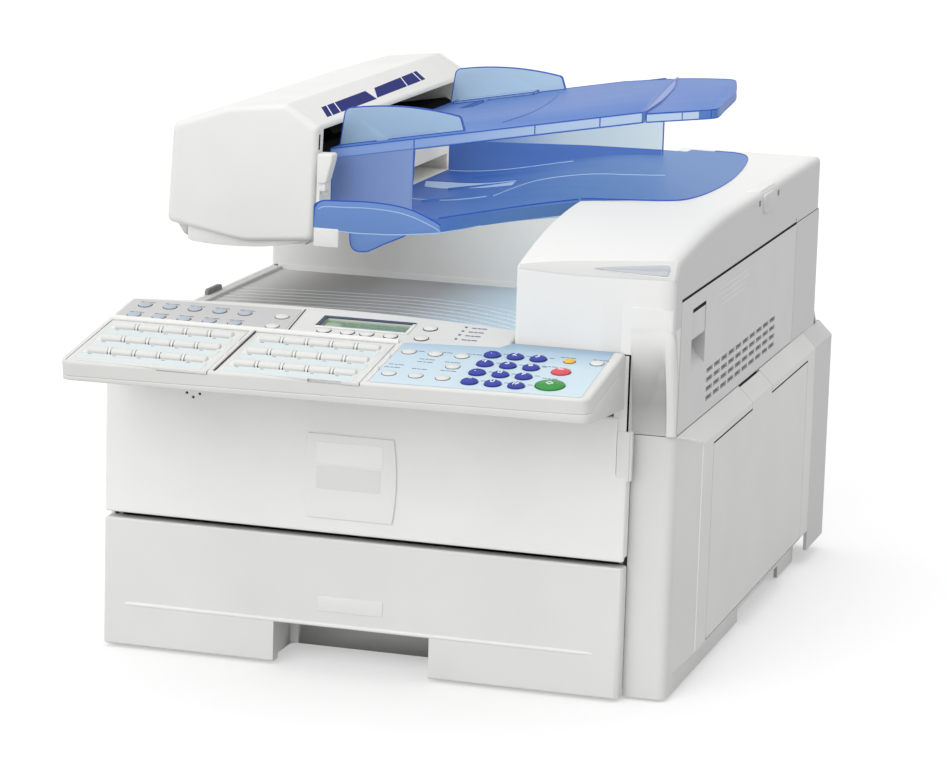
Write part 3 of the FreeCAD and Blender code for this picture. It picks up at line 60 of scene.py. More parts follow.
# Measured millimetres start at the front cover's lower left corner; the frame starts at the box's middle.
ORIGIN_MM = np.array([-196.5, -182.7326, 0.0])
IMAGE_WIDTH = 947
PANEL_TILT = math.radians(9.0)
PANEL_PIVOT = (-87.0, 215.3)
TRAY_SLOPE = math.radians(10.2)
EXTENSION_SLOPE = math.radians(7.0)
# Patterns that all finishes of a kind share: slow drift of tone, frosting and how far the gloss varies
DRIFT_MM = 60.0
FROST_MM = 1.1
GLOSS_SPREAD = 0.05
# Domed dial keys: radius of the dome and height of the printed number
KEY_DOME = 9.2
KEY_LETTER = 7.0
NODE_BODY = {node: body for body, nodes in frame["record"]["behaviour"]["bodies"].items() for node in nodes}


class Body(str, Enum):
    """The moving bodies that new pieces ride on."""

    HOUSING = "housing"
    CASSETTE = "cassette"
    COVER = "front_cover"
    FEEDER_COVER = "feeder_cover"
    EXTENSION = "document_extension"
    FLIP_LEFT = "flip_plate_left"
    FLIP_RIGHT = "flip_plate_right"
    VENT_DOOR = "vent_door"


# Colour, nodes and materials


def hex_linear(code: str) -> Colour:
    """Turn an sRGB hex colour into linear light.

    Args:
        code: six hex digits after a hash.

    Returns:
        Linear red, green and blue with an alpha of 1.
    """
    srgb = np.array([int(code[i:i + 2], 16) for i in (1, 3, 5)]) / 255.0
    linear = np.where(srgb <= 0.04045, srgb / 12.92, ((srgb + 0.055) / 1.055) ** 2.4)
    return (float(linear[0]), float(linear[1]), float(linear[2]), 1.0)


def shade(code: str, factor: float) -> Colour:
    """Return a hex colour in linear light, brightened or darkened by a factor."""
    red, green, blue, alpha = hex_linear(code)
    return (min(red * factor, 1.0), min(green * factor, 1.0), min(blue * factor, 1.0), alpha)


def settle(node: bpy.types.Node, values: dict) -> None:
    """Set constant values on a node's input sockets."""
    for key, value in values.items():
        node.inputs[key].default_value = value


def add_node(tree: Tree, kind: str, values: dict | None = None, links: dict | None = None,
             **settings: object) -> bpy.types.Node:
    """Add one node with its settings, socket values and incoming links.

    Args:
        tree: the node tree that takes the node.
        kind: the node's class name.
        values: socket name or index to a constant.
        links: socket name or index to the output socket that feeds it.
        settings: attributes of the node itself.

    Returns:
        The new node.
    """
    node = tree.nodes.new(kind)
    for key, value in settings.items():
        setattr(node, key, value)
    settle(node, values or {})
    for key, source in (links or {}).items():
        tree.links.new(source, node.inputs[key])
    return node


def calc(tree: Tree, operation: str, *terms: Socket | float) -> Socket:
    """Work out one sum of sockets and numbers.

    Args:
        tree: the node tree.
        operation: the name of the sum.
        terms: its terms, in order.

    Returns:
        The result.
    """
    known = {i: term for i, term in enumerate(terms) if isinstance(term, float)}
    fed = {i: term for i, term in enumerate(terms) if i not in known}
    return add_node(tree, "ShaderNodeMath", known, fed, operation=operation).outputs[0]


def ranged(tree: Tree, share: Socket, low: float, high: float) -> Socket:
    """Spread a share from 0 to 1 between two values."""
    return add_node(tree, "ShaderNodeMapRange", {"To Min": low, "To Max": high},
                    {"Value": share}).outputs["Result"]


def per_mm(size_mm: float) -> float:
    """Return a texture scale whose features are about a size in millimetres across."""
    return 1000.0 / size_mm


def blank_material(name: str) -> tuple[bpy.types.Material, Tree, bpy.types.Node]:
    """Start a material.

    Args:
        name: the material's name.

    Returns:
        The material, its node tree and its Principled shader.
    """
    material = bpy.data.materials.new(name)
    material.use_nodes = True
    tree = material.node_tree
    return material, tree, tree.nodes["Principled BSDF"]


def coordinates(tree: Tree) -> Socket:
    """Return the object's own coordinates, in which every pattern is laid."""
    return add_node(tree, "ShaderNodeTexCoord").outputs["Object"]


def noise(tree: Tree, place: Socket, size_mm: float, detail: float,
          stretch: tuple[float, float, float] | None = None) -> Socket:
    """Add a noise pattern.

    Args:
        tree: the node tree.
        place: the coordinates.
        size_mm: about how large its features are.
        detail: how many finer layers it has.
        stretch: scale of the coordinates along x, y and z, for lines and streaks.

    Returns:
        The noise, from 0 to 1.
    """
    if stretch:
        place = add_node(tree, "ShaderNodeMapping", {"Scale": stretch}, {"Vector": place}).outputs["Vector"]
    return add_node(tree, "ShaderNodeTexNoise", {"Scale": per_mm(size_mm), "Detail": detail},
                    {"Vector": place}).outputs["Fac"]


def run_share(tree: Tree, place: Socket, axis: str, run_mm: Sequence[float]) -> Socket:
    """Return how far a point lies along a run between two measured places, from 0 to 1.

    Args:
        tree: the node tree.
        place: the coordinates.
        axis: X, Y or Z.
        run_mm: both ends of the run, in measured millimetres.

    Returns:
        The share, from 0 to 1.
    """
    along = add_node(tree, "ShaderNodeSeparateXYZ", links={"Vector": place}).outputs[axis]
    low, high = ((mm + ORIGIN_MM["XYZ".index(axis)]) / 1000 for mm in run_mm)
    return add_node(tree, "ShaderNodeMapRange", {"From Min": low, "From Max": high},
                    {"Value": along}).outputs["Result"]


def tone(tree: Tree, share: Socket, stops: Sequence[tuple[float, Colour]]) -> Socket:
    """Turn a share into a colour.

    Args:
        tree: the node tree.
        share: a value from 0 to 1.
        stops: the places and colours that the tone runs through.

    Returns:
        The colour.
    """
    ramp = add_node(tree, "ShaderNodeValToRGB", links={"Fac": share})
    elements = ramp.color_ramp.elements
    elements[0].position, elements[1].position = stops[0][0], stops[-1][0]
    for position, _ in stops[1:-1]:
        elements.new(position)
    for element, (_, colour) in zip(elements, stops):
        element.color = colour
    return ramp.outputs["Color"]


def surface(tree: Tree, shader: bpy.types.Node, colour: Socket, grain: Socket, roughness: float,
            strength: float, relief_mm: float) -> None:
    """Give a shader its colour, and let a grain vary its gloss and raise its surface.

    Args:
        tree: the node tree.
        shader: the Principled shader.
        colour: its base colour.
        grain: the grain, from 0 to 1.
        roughness: the middle of the roughness.
        strength: how strongly the grain tilts the surface.
        relief_mm: the height of the grain.
    """
    gloss = ranged(tree, grain, roughness - GLOSS_SPREAD, roughness + GLOSS_SPREAD)
    bump = add_node(tree, "ShaderNodeBump", {"Strength": strength, "Distance": relief_mm / 1000},
                    {"Height": grain})
    tree.links.new(colour, shader.inputs["Base Color"])
    tree.links.new(gloss, shader.inputs["Roughness"])
    tree.links.new(bump.outputs["Normal"], shader.inputs["Normal"])


@dataclass(frozen=True)
class MouldedPlastic:
    """Injection-moulded plastic: a fine spark-eroded grain, a faint drift of tone and a soft highlight."""

    name: str
    colour: str
    roughness: float = 0.48
    grain_mm: float = 1.3
    relief_mm: float = 0.05
    drift: float = 0.03
    coat: float = 0.0
    specular: float = 0.4

    def material(self) -> bpy.types.Material:
        """Build the plastic: its colour drifts slowly, and the grain is drawn coarser than real to show.

        Returns:
            The material.
        """
        material, tree, shader = blank_material(self.name)
        place = coordinates(tree)
        stops = ((0.3, shade(self.colour, 1.0 - self.drift)), (0.7, shade(self.colour, 1.0 + self.drift / 2)))
        colour = tone(tree, noise(tree, place, DRIFT_MM, 2.0), stops)
        grain = noise(tree, place, self.grain_mm, 3.0)
        surface(tree, shader, colour, grain, self.roughness, 0.35, self.relief_mm)
        settle(shader, {"Specular IOR Level": self.specular, "Coat Weight": self.coat,
                        "Coat Roughness": 0.12})
        return material


@dataclass(frozen=True)
class TintedClear:
    """Tinted translucent polystyrene: light passes softly, and flow streaks lie along the moulding."""

    name: str
    colour: str
    deep: str
    roughness: float = 0.42
    transmission: float = 0.2
    streak_mm: float = 30.0
    specular: float = 0.1
    run_mm: tuple[float, float] = (0.0, 0.0)

    def material(self) -> bpy.types.Material:
        """Build the tinted plastic: two blues mixed by long streaks, and along a run where one is given.

        Returns:
            The material.
        """
        material, tree, shader = blank_material(self.name)
        place = coordinates(tree)
        share = noise(tree, place, self.streak_mm, 3.0, (0.2, 1.0, 1.0))
        if self.run_mm[1] > self.run_mm[0]:
            reach = run_share(tree, place, "X", self.run_mm)
            share = calc(tree, "MULTIPLY_ADD", share, 0.5, reach)
        colour = tone(tree, share, ((0.25, hex_linear(self.deep)), (1.0, hex_linear(self.colour))))
        surface(tree, shader, colour, noise(tree, place, FROST_MM, 2.0), self.roughness, 0.25, 0.05)
        settle(shader, {"Transmission Weight": self.transmission, "Specular IOR Level": self.specular,
                        "IOR": 1.45})
        return material


@dataclass(frozen=True)
class GradedSheet:
    """A satin film or deck whose tone runs through a row of colours along one axis."""

    name: str
    axis: str
    start_mm: float
    end_mm: float
    stops: tuple[tuple[float, str], ...]
    roughness: float = 0.4
    grain_mm: float = 0.9
    relief_mm: float = 0.01

    def material(self) -> bpy.types.Material:
        """Build the sheet: a colour ramp along the axis, with a fine grain drawn coarser than real.

        Returns:
            The material.
        """
        material, tree, shader = blank_material(self.name)
        place = coordinates(tree)
        share = run_share(tree, place, self.axis, (self.start_mm, self.end_mm))
        colour = tone(tree, share, [(position, hex_linear(code)) for position, code in self.stops])
        grain = noise(tree, place, self.grain_mm, 2.0)
        surface(tree, shader, colour, grain, self.roughness, 0.3, self.relief_mm)
        settle(shader, {"Specular IOR Level": 0.15})
        return material


@dataclass(frozen=True)
class WorkedMetal:
    """Plated or ground steel: fine lines along one way, and cloudy patches in the plating."""

    name: str
    colour: str
    roughness: float
    line_mm: float = 1.2
    cloud_mm: float = 25.0

    def material(self) -> bpy.types.Material:
        """Build the metal: stretched noise for the lines, and a slow noise for the cloudy plating.

        Returns:
            The material.
        """
        material, tree, shader = blank_material(self.name)
        place = coordinates(tree)
        lines = noise(tree, place, self.line_mm, 2.0, (1.0, 0.04, 1.0))
        colour = tone(tree, noise(tree, place, self.cloud_mm, 3.0),
                      ((0.0, shade(self.colour, 0.85)), (1.0, shade(self.colour, 1.05))))
        gloss = ranged(tree, lines, self.roughness - 0.08, self.roughness + 0.1)
        tree.links.new(colour, shader.inputs["Base Color"])
        tree.links.new(gloss, shader.inputs["Roughness"])
        settle(shader, {"Metallic": 1.0})
        return material


@dataclass(frozen=True)
class DisplayGlass:
    """Reflective liquid-crystal glass: green-grey, with rows of dark character cells under a clear face."""

    name: str
    ground: str
    cell: str
    row_mm: float = 7.0
    cell_mm: float = 1.5

    def material(self) -> bpy.types.Material:
        """Build the glass: a wave lays the rows, and a noise breaks them into cells.

        Returns:
            The material.
        """
        material, tree, shader = blank_material(self.name)
        place = coordinates(tree)
        rows = add_node(tree, "ShaderNodeTexWave", {"Scale": per_mm(self.row_mm) / 2, "Distortion": 0.0},
                        {"Vector": place}, bands_direction="Y")
        mask = calc(tree, "GREATER_THAN", noise(tree, place, self.cell_mm, 0.0), 0.47)
        line = calc(tree, "GREATER_THAN", rows.outputs["Fac"], 0.62)
        soft = calc(tree, "MULTIPLY", calc(tree, "MULTIPLY", mask, line), 0.55)
        # Sockets 6 and 7 and output 2 are the colours of the mix
        mixed = add_node(tree, "ShaderNodeMix", {6: hex_linear(self.ground), 7: hex_linear(self.cell)},
                         {0: soft}, data_type="RGBA")
        tree.links.new(mixed.outputs[2], shader.inputs["Base Color"])
        settle(shader, {"Roughness": 0.12, "Coat Weight": 0.6})
        return material


@lru_cache(maxsize=None)
def made(finish: object) -> bpy.types.Material:
    """Return a finish's material, built once."""
    return finish.material()


def key_cap(name: str, colour: str, roughness: float = 0.28, relief_mm: float = 0.01,
            specular: float = 0.2) -> MouldedPlastic:
    """Return the plastic of a key cap, glossier than the housing."""
    return MouldedPlastic(name, colour, roughness, relief_mm=relief_mm, specular=specular)


def ink(name: str, colour: str, specular: float = 0.1, roughness: float = 0.5) -> MouldedPlastic:
    """Return a screen-printed ink, flatter than the plastic under it."""
    return MouldedPlastic(name, colour, roughness, grain_mm=2.0, relief_mm=0.005, specular=specular)


# White ABS for the housing; satin, slightly warm, the grain breaks up the highlight
SHELL = MouldedPlastic("abs_white_moulded", "#ECECEA")
# Painted light and shade in copies of one white ABS: the front cover is lightened against the panel's shadow,
# the cassette is darkened, and the doors are greyer for the shade on the right-hand side
SHELL_COVER_LIT = MouldedPlastic("abs_white_cover_painted_light", "#F3F3F1")
SHELL_LOW_SHADED = MouldedPlastic("abs_white_cassette_painted_shade", "#E6E6E4")
SHELL_DOOR_SHADED = MouldedPlastic("abs_white_door_painted_shade", "#D8D8D8")
# Painted shade: a greyer copy of the white ABS on the right cover and the side door, which face away from the
# light
SHELL_SIDE_SHADED = MouldedPlastic("abs_white_side_painted_shade", "#E3E3E2")
# Painted shade: a darker copy of the white ABS on the band over the top cover's crease
SHELL_CREST_SHADED = MouldedPlastic("abs_white_crest_painted_shade", "#D6D6D5")
# Painted highlight: a lighter copy of the white ABS for the bead on the lower right cover's front edge
SHELL_HIGHLIGHT = MouldedPlastic("abs_white_painted_highlight", "#F3F3F2")
# Painted shade down the leg's cove: darkest low down, a little lighter at its foot and lightest at its top
SHELL_COVE = GradedSheet("abs_white_cove", "Z", 175.0, 243.0, (
    (0.0, "#CDCDCC"), (0.3, "#B3B3B3"), (0.5, "#BDBDBC"), (0.8, "#E0E0DF"), (1.0, "#EFEFED")), 0.5)
# Painted shade: the top and rear covers darken down their right side, which faces away from the light
SHELL_HUMP_SHADED = GradedSheet("abs_white_hump_painted_shade", "X", 371.0, 382.0, (
    (0.0, "#EFEFED"), (0.5, "#E8E8E6"), (1.0, "#D6D6D6")), 0.5)
# The same ABS on the operation panel, a little finer
PANEL = MouldedPlastic("abs_white_panel", "#DFDFDC", roughness=0.42, grain_mm=1.0)
PANEL_BAR = MouldedPlastic("abs_white_bar", "#EAEAE7", roughness=0.4, grain_mm=1.0)
# Grey printed area of the panel face
PANEL_GREY = MouldedPlastic("abs_grey_panel", "#C6C6C6", roughness=0.42, grain_mm=1.0)
# Matt deck under the pages: shaded by the feeder on the left, blue where light falls through the trays
DECK = GradedSheet("abs_deck_moulded", "X", 0.0, 277.0, (
    (0.0, "#DADAD9"), (0.22, "#B0AEAD"), (0.5, "#A9ABAE"), (0.72, "#C0D6E4"), (1.0, "#DFF4FF")),
    0.6, 1.3, 0.05)
# Painted highlight: pale beads on the deck's ridges, in the deck's tones of painted shade and blue light
DECK_GLINT = GradedSheet("abs_deck_painted_highlight", "X", 0.0, 277.0, (
    (0.0, "#E2E2E1"), (0.5, "#C9CDD0"), (1.0, "#E4F0F6")), 0.6)
# Badge plate and blank label plates, smoother than the housing
PLATE = MouldedPlastic("abs_plate_smooth", "#ECECEC", roughness=0.3, grain_mm=2.0, relief_mm=0.02)
BLANK = MouldedPlastic("polyester_blank_label", "#FAFAF9", roughness=0.25, grain_mm=2.0, relief_mm=0.01)
# Black plastic inside mouths and sockets, black strips as painted shade in the gaps and slits of the doors,
# grip, lever and top cover, and the shaded grey inside slots
BLACK = MouldedPlastic("abs_black_matt_and_gap_shade", "#0E0F11", roughness=0.7, drift=0.08, specular=0.05)
SHADED = MouldedPlastic("abs_grey_shaded", "#8B8B8C", roughness=0.6, drift=0.05, specular=0.1)
# Key caps
KEY_WHITE = key_cap("key_abs_white", "#DFDFDC", 0.4, 0.02, 0.25)
KEY_GREY = key_cap("key_abs_grey_blue", "#B2BCC6", 0.4, 0.02)
KEY_BLUE = key_cap("key_abs_blue_violet", "#343EA0", 0.26)
KEY_GREEN = key_cap("key_abs_green", "#2B8F37")
KEY_RED = key_cap("key_abs_red", "#D84F58")
KEY_YELLOW = key_cap("key_abs_yellow", "#EDBB3C")
# Screen-printed inks, and a black for painted shade in the panel's gaps
INK_NAVY = ink("ink_navy_printed", "#141F70", 0.05)
INK_GREY = ink("ink_grey_printed", "#7A8399")
# Painted shade, not print: black in the slits under the one-touch bars, round the keys and beside the ribs
GAP_SHADE = ink("gap_shade_black", "#4A4540")
INK_WHITE = ink("ink_white_printed", "#F6F7FA", 0.4, 0.45)
# Blue translucent polystyrene of the trays and guides, edges pipe light and look deeper
TRAY_BLUE = TintedClear("polystyrene_blue_clear", "#6289CA", "#557DC5")
EXIT_BLUE = TintedClear("polystyrene_blue_exit", "#628AC3", "#3A66BD", run_mm=(110.0, 330.0))
GUIDE_BLUE = TintedClear("polystyrene_blue_pale", "#BBD2E7", "#A6C2E0", transmission=0.35)
EDGE_BLUE = TintedClear("polystyrene_blue_edge", "#3F66C6", "#3056B8", transmission=0.0, roughness=0.3)
RIM_BLUE = TintedClear("polystyrene_blue_rim", "#7C9BD2", "#6C8ECA", transmission=0.05)
BAND_BLUE = GradedSheet("polystyrene_blue_band", "X", 115.0, 376.0, (
    (0.0, "#7E9BD6"), (0.3, "#8CA8DA"), (0.6, "#AFC6E4"), (1.0, "#BDD2E8")), 0.4)
WALL_BLUE = GradedSheet("polystyrene_blue_wall", "X", 115.0, 173.0, (
    (0.0, "#6A86C4"), (0.15, "#6F86BC"), (1.0, "#8299CC")), 0.4)
DEEP_BLUE = TintedClear("polystyrene_blue_deep", "#5C80C8", "#4C70BC", transmission=0.05)
RIDGE_BLUE = TintedClear("polystyrene_blue_ridge", "#B9D0EC", "#A8C3E8", transmission=0.1)
FROST = GradedSheet("polystyrene_frosted", "X", 114.0, 276.0, (
    (0.0, "#6587CB"), (0.3, "#86A3D2"), (0.55, "#BACDDC"), (1.0, "#CBDBE5")), 0.5)
# Label strips, and the printed sheet over the dial keys, which darkens towards its back as the top cover's
# painted shadow
STRIP = GradedSheet("film_label_strip", "Y", -100.0, -20.0, ((0.0, "#DCE5E6"), (1.0, "#D8E2E4")))
SHEET_HUMP_SHADOW = GradedSheet("film_pale_blue_painted_shadow", "Y", -88.0, -1.0, (
    (0.0, "#D3E4ED"), (0.6, "#C9DDE8"), (0.85, "#AFC8D9"), (1.0, "#8FAABF")))
# Silver-painted lens of the status lamp
LENS = MouldedPlastic("acrylic_smoke_lens", "#B4B8BD", roughness=0.18, relief_mm=0.0, coat=0.5)
DISPLAY = DisplayGlass("glass_liquid_crystal", "#8FA88C", "#5E7660")
# Painted shadow: slate strips along the back and left sides of the display's recess
RECESS_SHADOW = MouldedPlastic("slate_painted_shadow", "#39475C", roughness=0.35, relief_mm=0.01)
# Metals, rubber and boards inside
ZINC = WorkedMetal("steel_zinc_plated", "#B4B7BA", 0.42)
STEEL = WorkedMetal("steel_ground", "#B9BBBE", 0.28)
RUBBER = MouldedPlastic("rubber_roller_black", "#1C1C1E", 0.75, grain_mm=1.5, relief_mm=0.08, drift=0.1)
BOARD = MouldedPlastic("glass_epoxy_board_green", "#2C6A45", 0.35, grain_mm=3.0, relief_mm=0.03, drift=0.15)


# Surfaces


@dataclass
class Shell:
    """Points in millimetres and the faces between them."""

    points: Array
    faces: list[list[int]]


def row(points: Array) -> Array:
    """Move measured millimetres to the frame's origin and turn them into metres."""
    return (np.asarray(points, float) + ORIGIN_MM) / 1000.0


def on_panel(points: Array) -> Array:
    """Tilt panel points (across, up the slope, above the face) into measured millimetres.

    Args:
        points: one (across, up, above) per row.

    Returns:
        The points in measured millimetres.
    """
    u, v, w = np.asarray(points, float).T
    run, rise = math.cos(PANEL_TILT), math.sin(PANEL_TILT)
    return np.column_stack([u, PANEL_PIVOT[0] + v * run - w * rise, PANEL_PIVOT[1] + v * rise + w * run])


def on_front(points: Array) -> Array:
    """Stand drawing points (across, up, towards the front) on the front plane, or as a section behind it."""
    u, v, w = np.asarray(points, float).T
    return np.column_stack([u, -w, v])


def on_right(points: Array) -> Array:
    """Stand drawing points (back, up, out) on the right-hand side, out measured in x."""
    u, v, w = np.asarray(points, float).T
    return np.column_stack([w, u, v])


def as_drawn(points: Array) -> Array:
    """Return points that already are measured millimetres."""
    return np.asarray(points, float)


def unit(vectors: Array) -> Array:
    """Scale each vector to a length of one."""
    return vectors / np.linalg.norm(vectors, axis=-1, keepdims=True)


def rounded(corners: Sequence[Sequence[float]], steps: int = 6) -> Array:
    """Round a polygon's corners with arcs.

    Each corner's arc has its centre on the bisector at radius / sin(half angle), and runs between the two
    points where it touches the sides, as a slerp of the two radii.

    Args:
        corners: (across, up, radius) of each corner, counter-clockwise.
        steps: points on each arc.

    Returns:
        The outline, one point per row.
    """
    table = np.asarray(corners, float)
    tip, radius = table[:, :2], np.maximum(table[:, 2], 0.02)[:, None]
    back = unit(np.roll(tip, 1, axis=0) - tip)
    ahead = unit(np.roll(tip, -1, axis=0) - tip)
    half = np.arccos(np.clip((back * ahead).sum(axis=1), -1, 1))[:, None] / 2
    centre = tip + unit(back + ahead) * radius / np.sin(half)
    first = tip + back * radius / np.tan(half) - centre
    last = tip + ahead * radius / np.tan(half) - centre
    sweep = (np.pi - 2 * half)[:, None, :]
    share = np.linspace(0, 1, steps)[None, :, None]
    mixed = np.sin((1 - share) * sweep) * first[:, None] + np.sin(share * sweep) * last[:, None]
    return (centre[:, None] + mixed / np.sin(sweep)).reshape(-1, 2)


def miter(outline: Array) -> Array:
    """Return, for each point of a counter-clockwise outline, the step that insets both its sides by one.

    Args:
        outline: one point per row.

    Returns:
        One step per point: the sum of both sides' inward units over one plus their product.
    """
    along = unit(np.roll(outline, -1, axis=0) - outline)
    inward = np.column_stack([-along[:, 1], along[:, 0]])
    before = np.roll(inward, 1, axis=0)
    return (before + inward) / (1 + (before * inward).sum(axis=1, keepdims=True))


def walls(lower: Array, upper: Array) -> list[list[int]]:
    """Return the four-cornered faces between pairs of index rings."""
    turned = (np.roll(ring, -1, axis=1) for ring in (lower, upper))
    return np.stack([lower, *turned, upper], axis=-1).reshape(-1, 4).tolist()


def loft(rings: Array, closed: bool = False) -> Shell:
    """Join rings of points into a skin.

    Args:
        rings: an array (rings, points, 3), each ring counter-clockwise seen from the next one.
        closed: True where the last ring joins the first; otherwise the two ends are capped.

    Returns:
        The closed shell.
    """
    count, size, _ = rings.shape
    index = np.arange(count * size).reshape(count, size)
    lower = index if closed else index[:-1]
    upper = np.roll(index, -1, axis=0) if closed else index[1:]
    faces = walls(lower, upper)
    if not closed:
        faces += [index[0][::-1].tolist(), index[-1].tolist()]
    return Shell(rings.reshape(-1, 3), faces)


def quarter(low: float, high: float, edge: float, steps: int) -> tuple[Array, Array]:
    """Return the insets and heights of rings that rise from a foot and turn over a quarter round.

    Ring k of the round is inset by edge * (1 - cos t) at the height high - edge * (1 - sin t), t from 0 to
    90 degrees.

    Args:
        low: height of the foot.
        high: height of the top.
        edge: radius of the round.
        steps: rings on the round.

    Returns:
        The insets and the heights.
    """
    turn = np.linspace(0, np.pi / 2, steps)
    return (np.concatenate([[0.0], edge * (1 - np.cos(turn))]),
            np.concatenate([[low], high - edge * (1 - np.sin(turn))]))


def level(plan: Array, height: float) -> Array:
    """Lift plan points to one height."""
    return np.column_stack([plan, np.full(len(plan), height)])


def stacked(flat: Array, heights: Array) -> Array:
    """Lift each flat ring (rings, points, 2) to its own height."""
    return np.concatenate([flat, np.broadcast_to(heights[:, None, None], flat.shape[:2] + (1,))], axis=2)


def slab(outline: Array, low: float, high: float, edge: float = 0.4, steps: int = 4) -> Shell:
    """Raise an outline into a slab whose upper edge is a quarter round, inset along the corners' miters.

    Args:
        outline: counter-clockwise points.
        low: height of the lower face.
        high: height of the upper face.
        edge: radius of the upper edge.
        steps: rings on that edge.

    Returns:
        The closed slab.
    """
    inset, height = quarter(low, high, edge, steps)
    return loft(stacked(outline[None] + inset[:, None, None] * miter(outline)[None], height))


def spokes(ahead: Array, radius: float, sides: int) -> Array:
    """Return a circle of radius vectors square to each direction.

    Args:
        ahead: directions of any length.
        radius: the circles' radius.
        sides: points on a circle.

    Returns:
        An array (directions, sides, 3).
    """
    ahead = unit(ahead)
    lean = np.where(np.abs(ahead[:, 2:3]) > 0.9, [[1.0, 0.0, 0.0]], [[0.0, 0.0, 1.0]])
    side = unit(np.cross(ahead, lean))
    rise = np.cross(ahead, side)
    angle = np.linspace(0, 2 * np.pi, sides, endpoint=False)[None, :, None]
    return radius * (np.cos(angle) * side[:, None] + np.sin(angle) * rise[:, None])


def tube(path: Array, radius: float, sides: int = 8, closed: bool = False) -> Shell:
    """Carry a circle along a path.

    Args:
        path: points in millimetres.
        radius: the circle's radius.
        sides: points on the circle.
        closed: True for a path that returns to its start.

    Returns:
        The closed tube.
    """
    ahead = np.roll(path, -1, axis=0) - np.roll(path, 1, axis=0) if closed else np.gradient(path, axis=0)
    return loft(path[:, None] + spokes(ahead, radius, sides), closed)


def tiles(rects: Sequence[Sequence[float]], low: float, high: float) -> Shell:
    """Raise rectangles (left, front, right, back) into flat tiles, all in one array.

    Args:
        rects: the rectangles.
        low: height of the lower faces.
        high: height of the upper faces.

    Returns:
        The closed tiles.
    """
    table = np.asarray(rects, float)
    pick = np.array([[0, 1], [2, 1], [2, 3], [0, 3]])
    plan = table[:, pick]
    floor, roof = (stacked(plan, np.full(len(plan), height)) for height in (low, high))
    points = np.concatenate([floor, roof], axis=1).reshape(-1, 3)
    one = np.array([[3, 2, 1, 0], [4, 5, 6, 7], [0, 1, 5, 4], [1, 2, 6, 5], [2, 3, 7, 6], [3, 0, 4, 7]])
    faces = (np.arange(len(table))[:, None, None] * 8 + one[None]).reshape(-1, 4)
    return Shell(points, faces.tolist())


def pad(rect: Sequence[float], radius: float, low: float, high: float, edge: float = 0.4,
        steps: int = 4) -> Shell:
    """Raise a rounded rectangle into a pad whose upper edge is a quarter round.

    Where a ring of the edge is drawn in, its corner radius shrinks by the same amount.

    Args:
        rect: (left, front, right, back).
        radius: the corners' radius.
        low: height of the lower face.
        high: height of the upper face.
        edge: radius of the upper edge.
        steps: rings on that edge.

    Returns:
        The closed pad.
    """
    left, front, right, back = rect
    inset, height = quarter(low, high, edge, steps)
    flat = [rounded([(left + d, front + d, radius - d), (right - d, front + d, radius - d),
                     (right - d, back - d, radius - d), (left + d, back - d, radius - d)], 5) for d in inset]
    return loft(stacked(np.stack(flat), height))


def smooth(points: Sequence[Sequence[float]], count: int = 40) -> Array:
    """Run a Catmull-Rom curve through points.

    Each span is the cubic whose end slopes are half the step between the points on either side.

    Args:
        points: the points that the curve passes.
        count: points on the curve.

    Returns:
        The curve, one point per row.
    """
    table = np.asarray(points, float)
    ends = np.concatenate([[2 * table[0] - table[1]], table, [2 * table[-1] - table[-2]]])
    place = np.linspace(0, len(table) - 1, count)
    span = np.minimum(place.astype(int), len(table) - 2)
    t = (place - span)[:, None]
    a, b, c, d = (ends[span + i] for i in range(4))
    return b + 0.5 * t * (c - a + t * (2 * a - 5 * b + 4 * c - d + t * (3 * (b - c) + d - a)))


def ribbon(first: Array, second: Array, thick: float) -> Shell:
    """Span a thin sheet between two paths with as many points each, its upper face on the paths."""
    drop = np.array([0.0, 0.0, thick])
    return loft(np.stack([first - drop, second - drop, second, first], axis=1))


def rods(ends: Array, radius: float, sides: int = 6) -> Shell:
    """Turn each pair of ends into a slim rod, all in one array.

    Args:
        ends: an array (rods, 2, 3) in millimetres.
        radius: the rods' radius.
        sides: points on the circle.

    Returns:
        The closed rods.
    """
    points = ends[:, :, None] + spokes(ends[:, 1] - ends[:, 0], radius, sides)[:, None]
    index = np.arange(len(ends) * 2 * sides).reshape(-1, 2, sides)
    low, high = index[:, 0], index[:, 1]
    return Shell(points.reshape(-1, 3), walls(low, high) + low[:, ::-1].tolist() + high.tolist())


def ease(share: Array) -> Array:
    """Return the easy S between 0 and 1, three squares less two cubes."""
    kept = np.clip(share, 0.0, 1.0)
    return kept * kept * (3 - 2 * kept)


def joined(shells: Sequence[Shell]) -> Shell:
    """Put several shells into one mesh.

    Args:
        shells: the shells.

    Returns:
        One shell with all their faces.
    """
    starts = np.cumsum([0] + [len(shell.points) for shell in shells[:-1]])
    faces = [[int(start) + i for i in face] for start, shell in zip(starts, shells) for face in shell.faces]
    return Shell(np.concatenate([shell.points for shell in shells]), faces)


def drawn(name: str, shell: Shell, place: Place) -> bpy.types.Mesh:
    """Return a shell's mesh in the frame.

    Args:
        name: the mesh's name.
        shell: the drawing, in millimetres.
        place: puts the drawing into measured millimetres.

    Returns:
        The new mesh.
    """
    mesh = bpy.data.meshes.new(name)
    mesh.from_pydata(row(place(shell.points)).tolist(), [], shell.faces)
    return mesh


def coat(piece: bpy.types.Object, finish: object) -> None:
    """Give an object a finish in place of its materials."""
    piece.data.materials.clear()
    piece.data.materials.append(made(finish))


def announce(piece: bpy.types.Object, finish: object, body: str, nodes: Sequence[str]) -> None:
    """Give a piece its material and body, and hide the CAD nodes that it stands for.

    Args:
        piece: the object.
        finish: its material.
        body: the body that it rides on.
        nodes: the CAD nodes that it stands for.
    """
    coat(piece, finish)
    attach(piece, body)
    if nodes:
        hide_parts(*nodes)
    log.info("%s rides %s in %s", piece.name, body, made(finish).name)


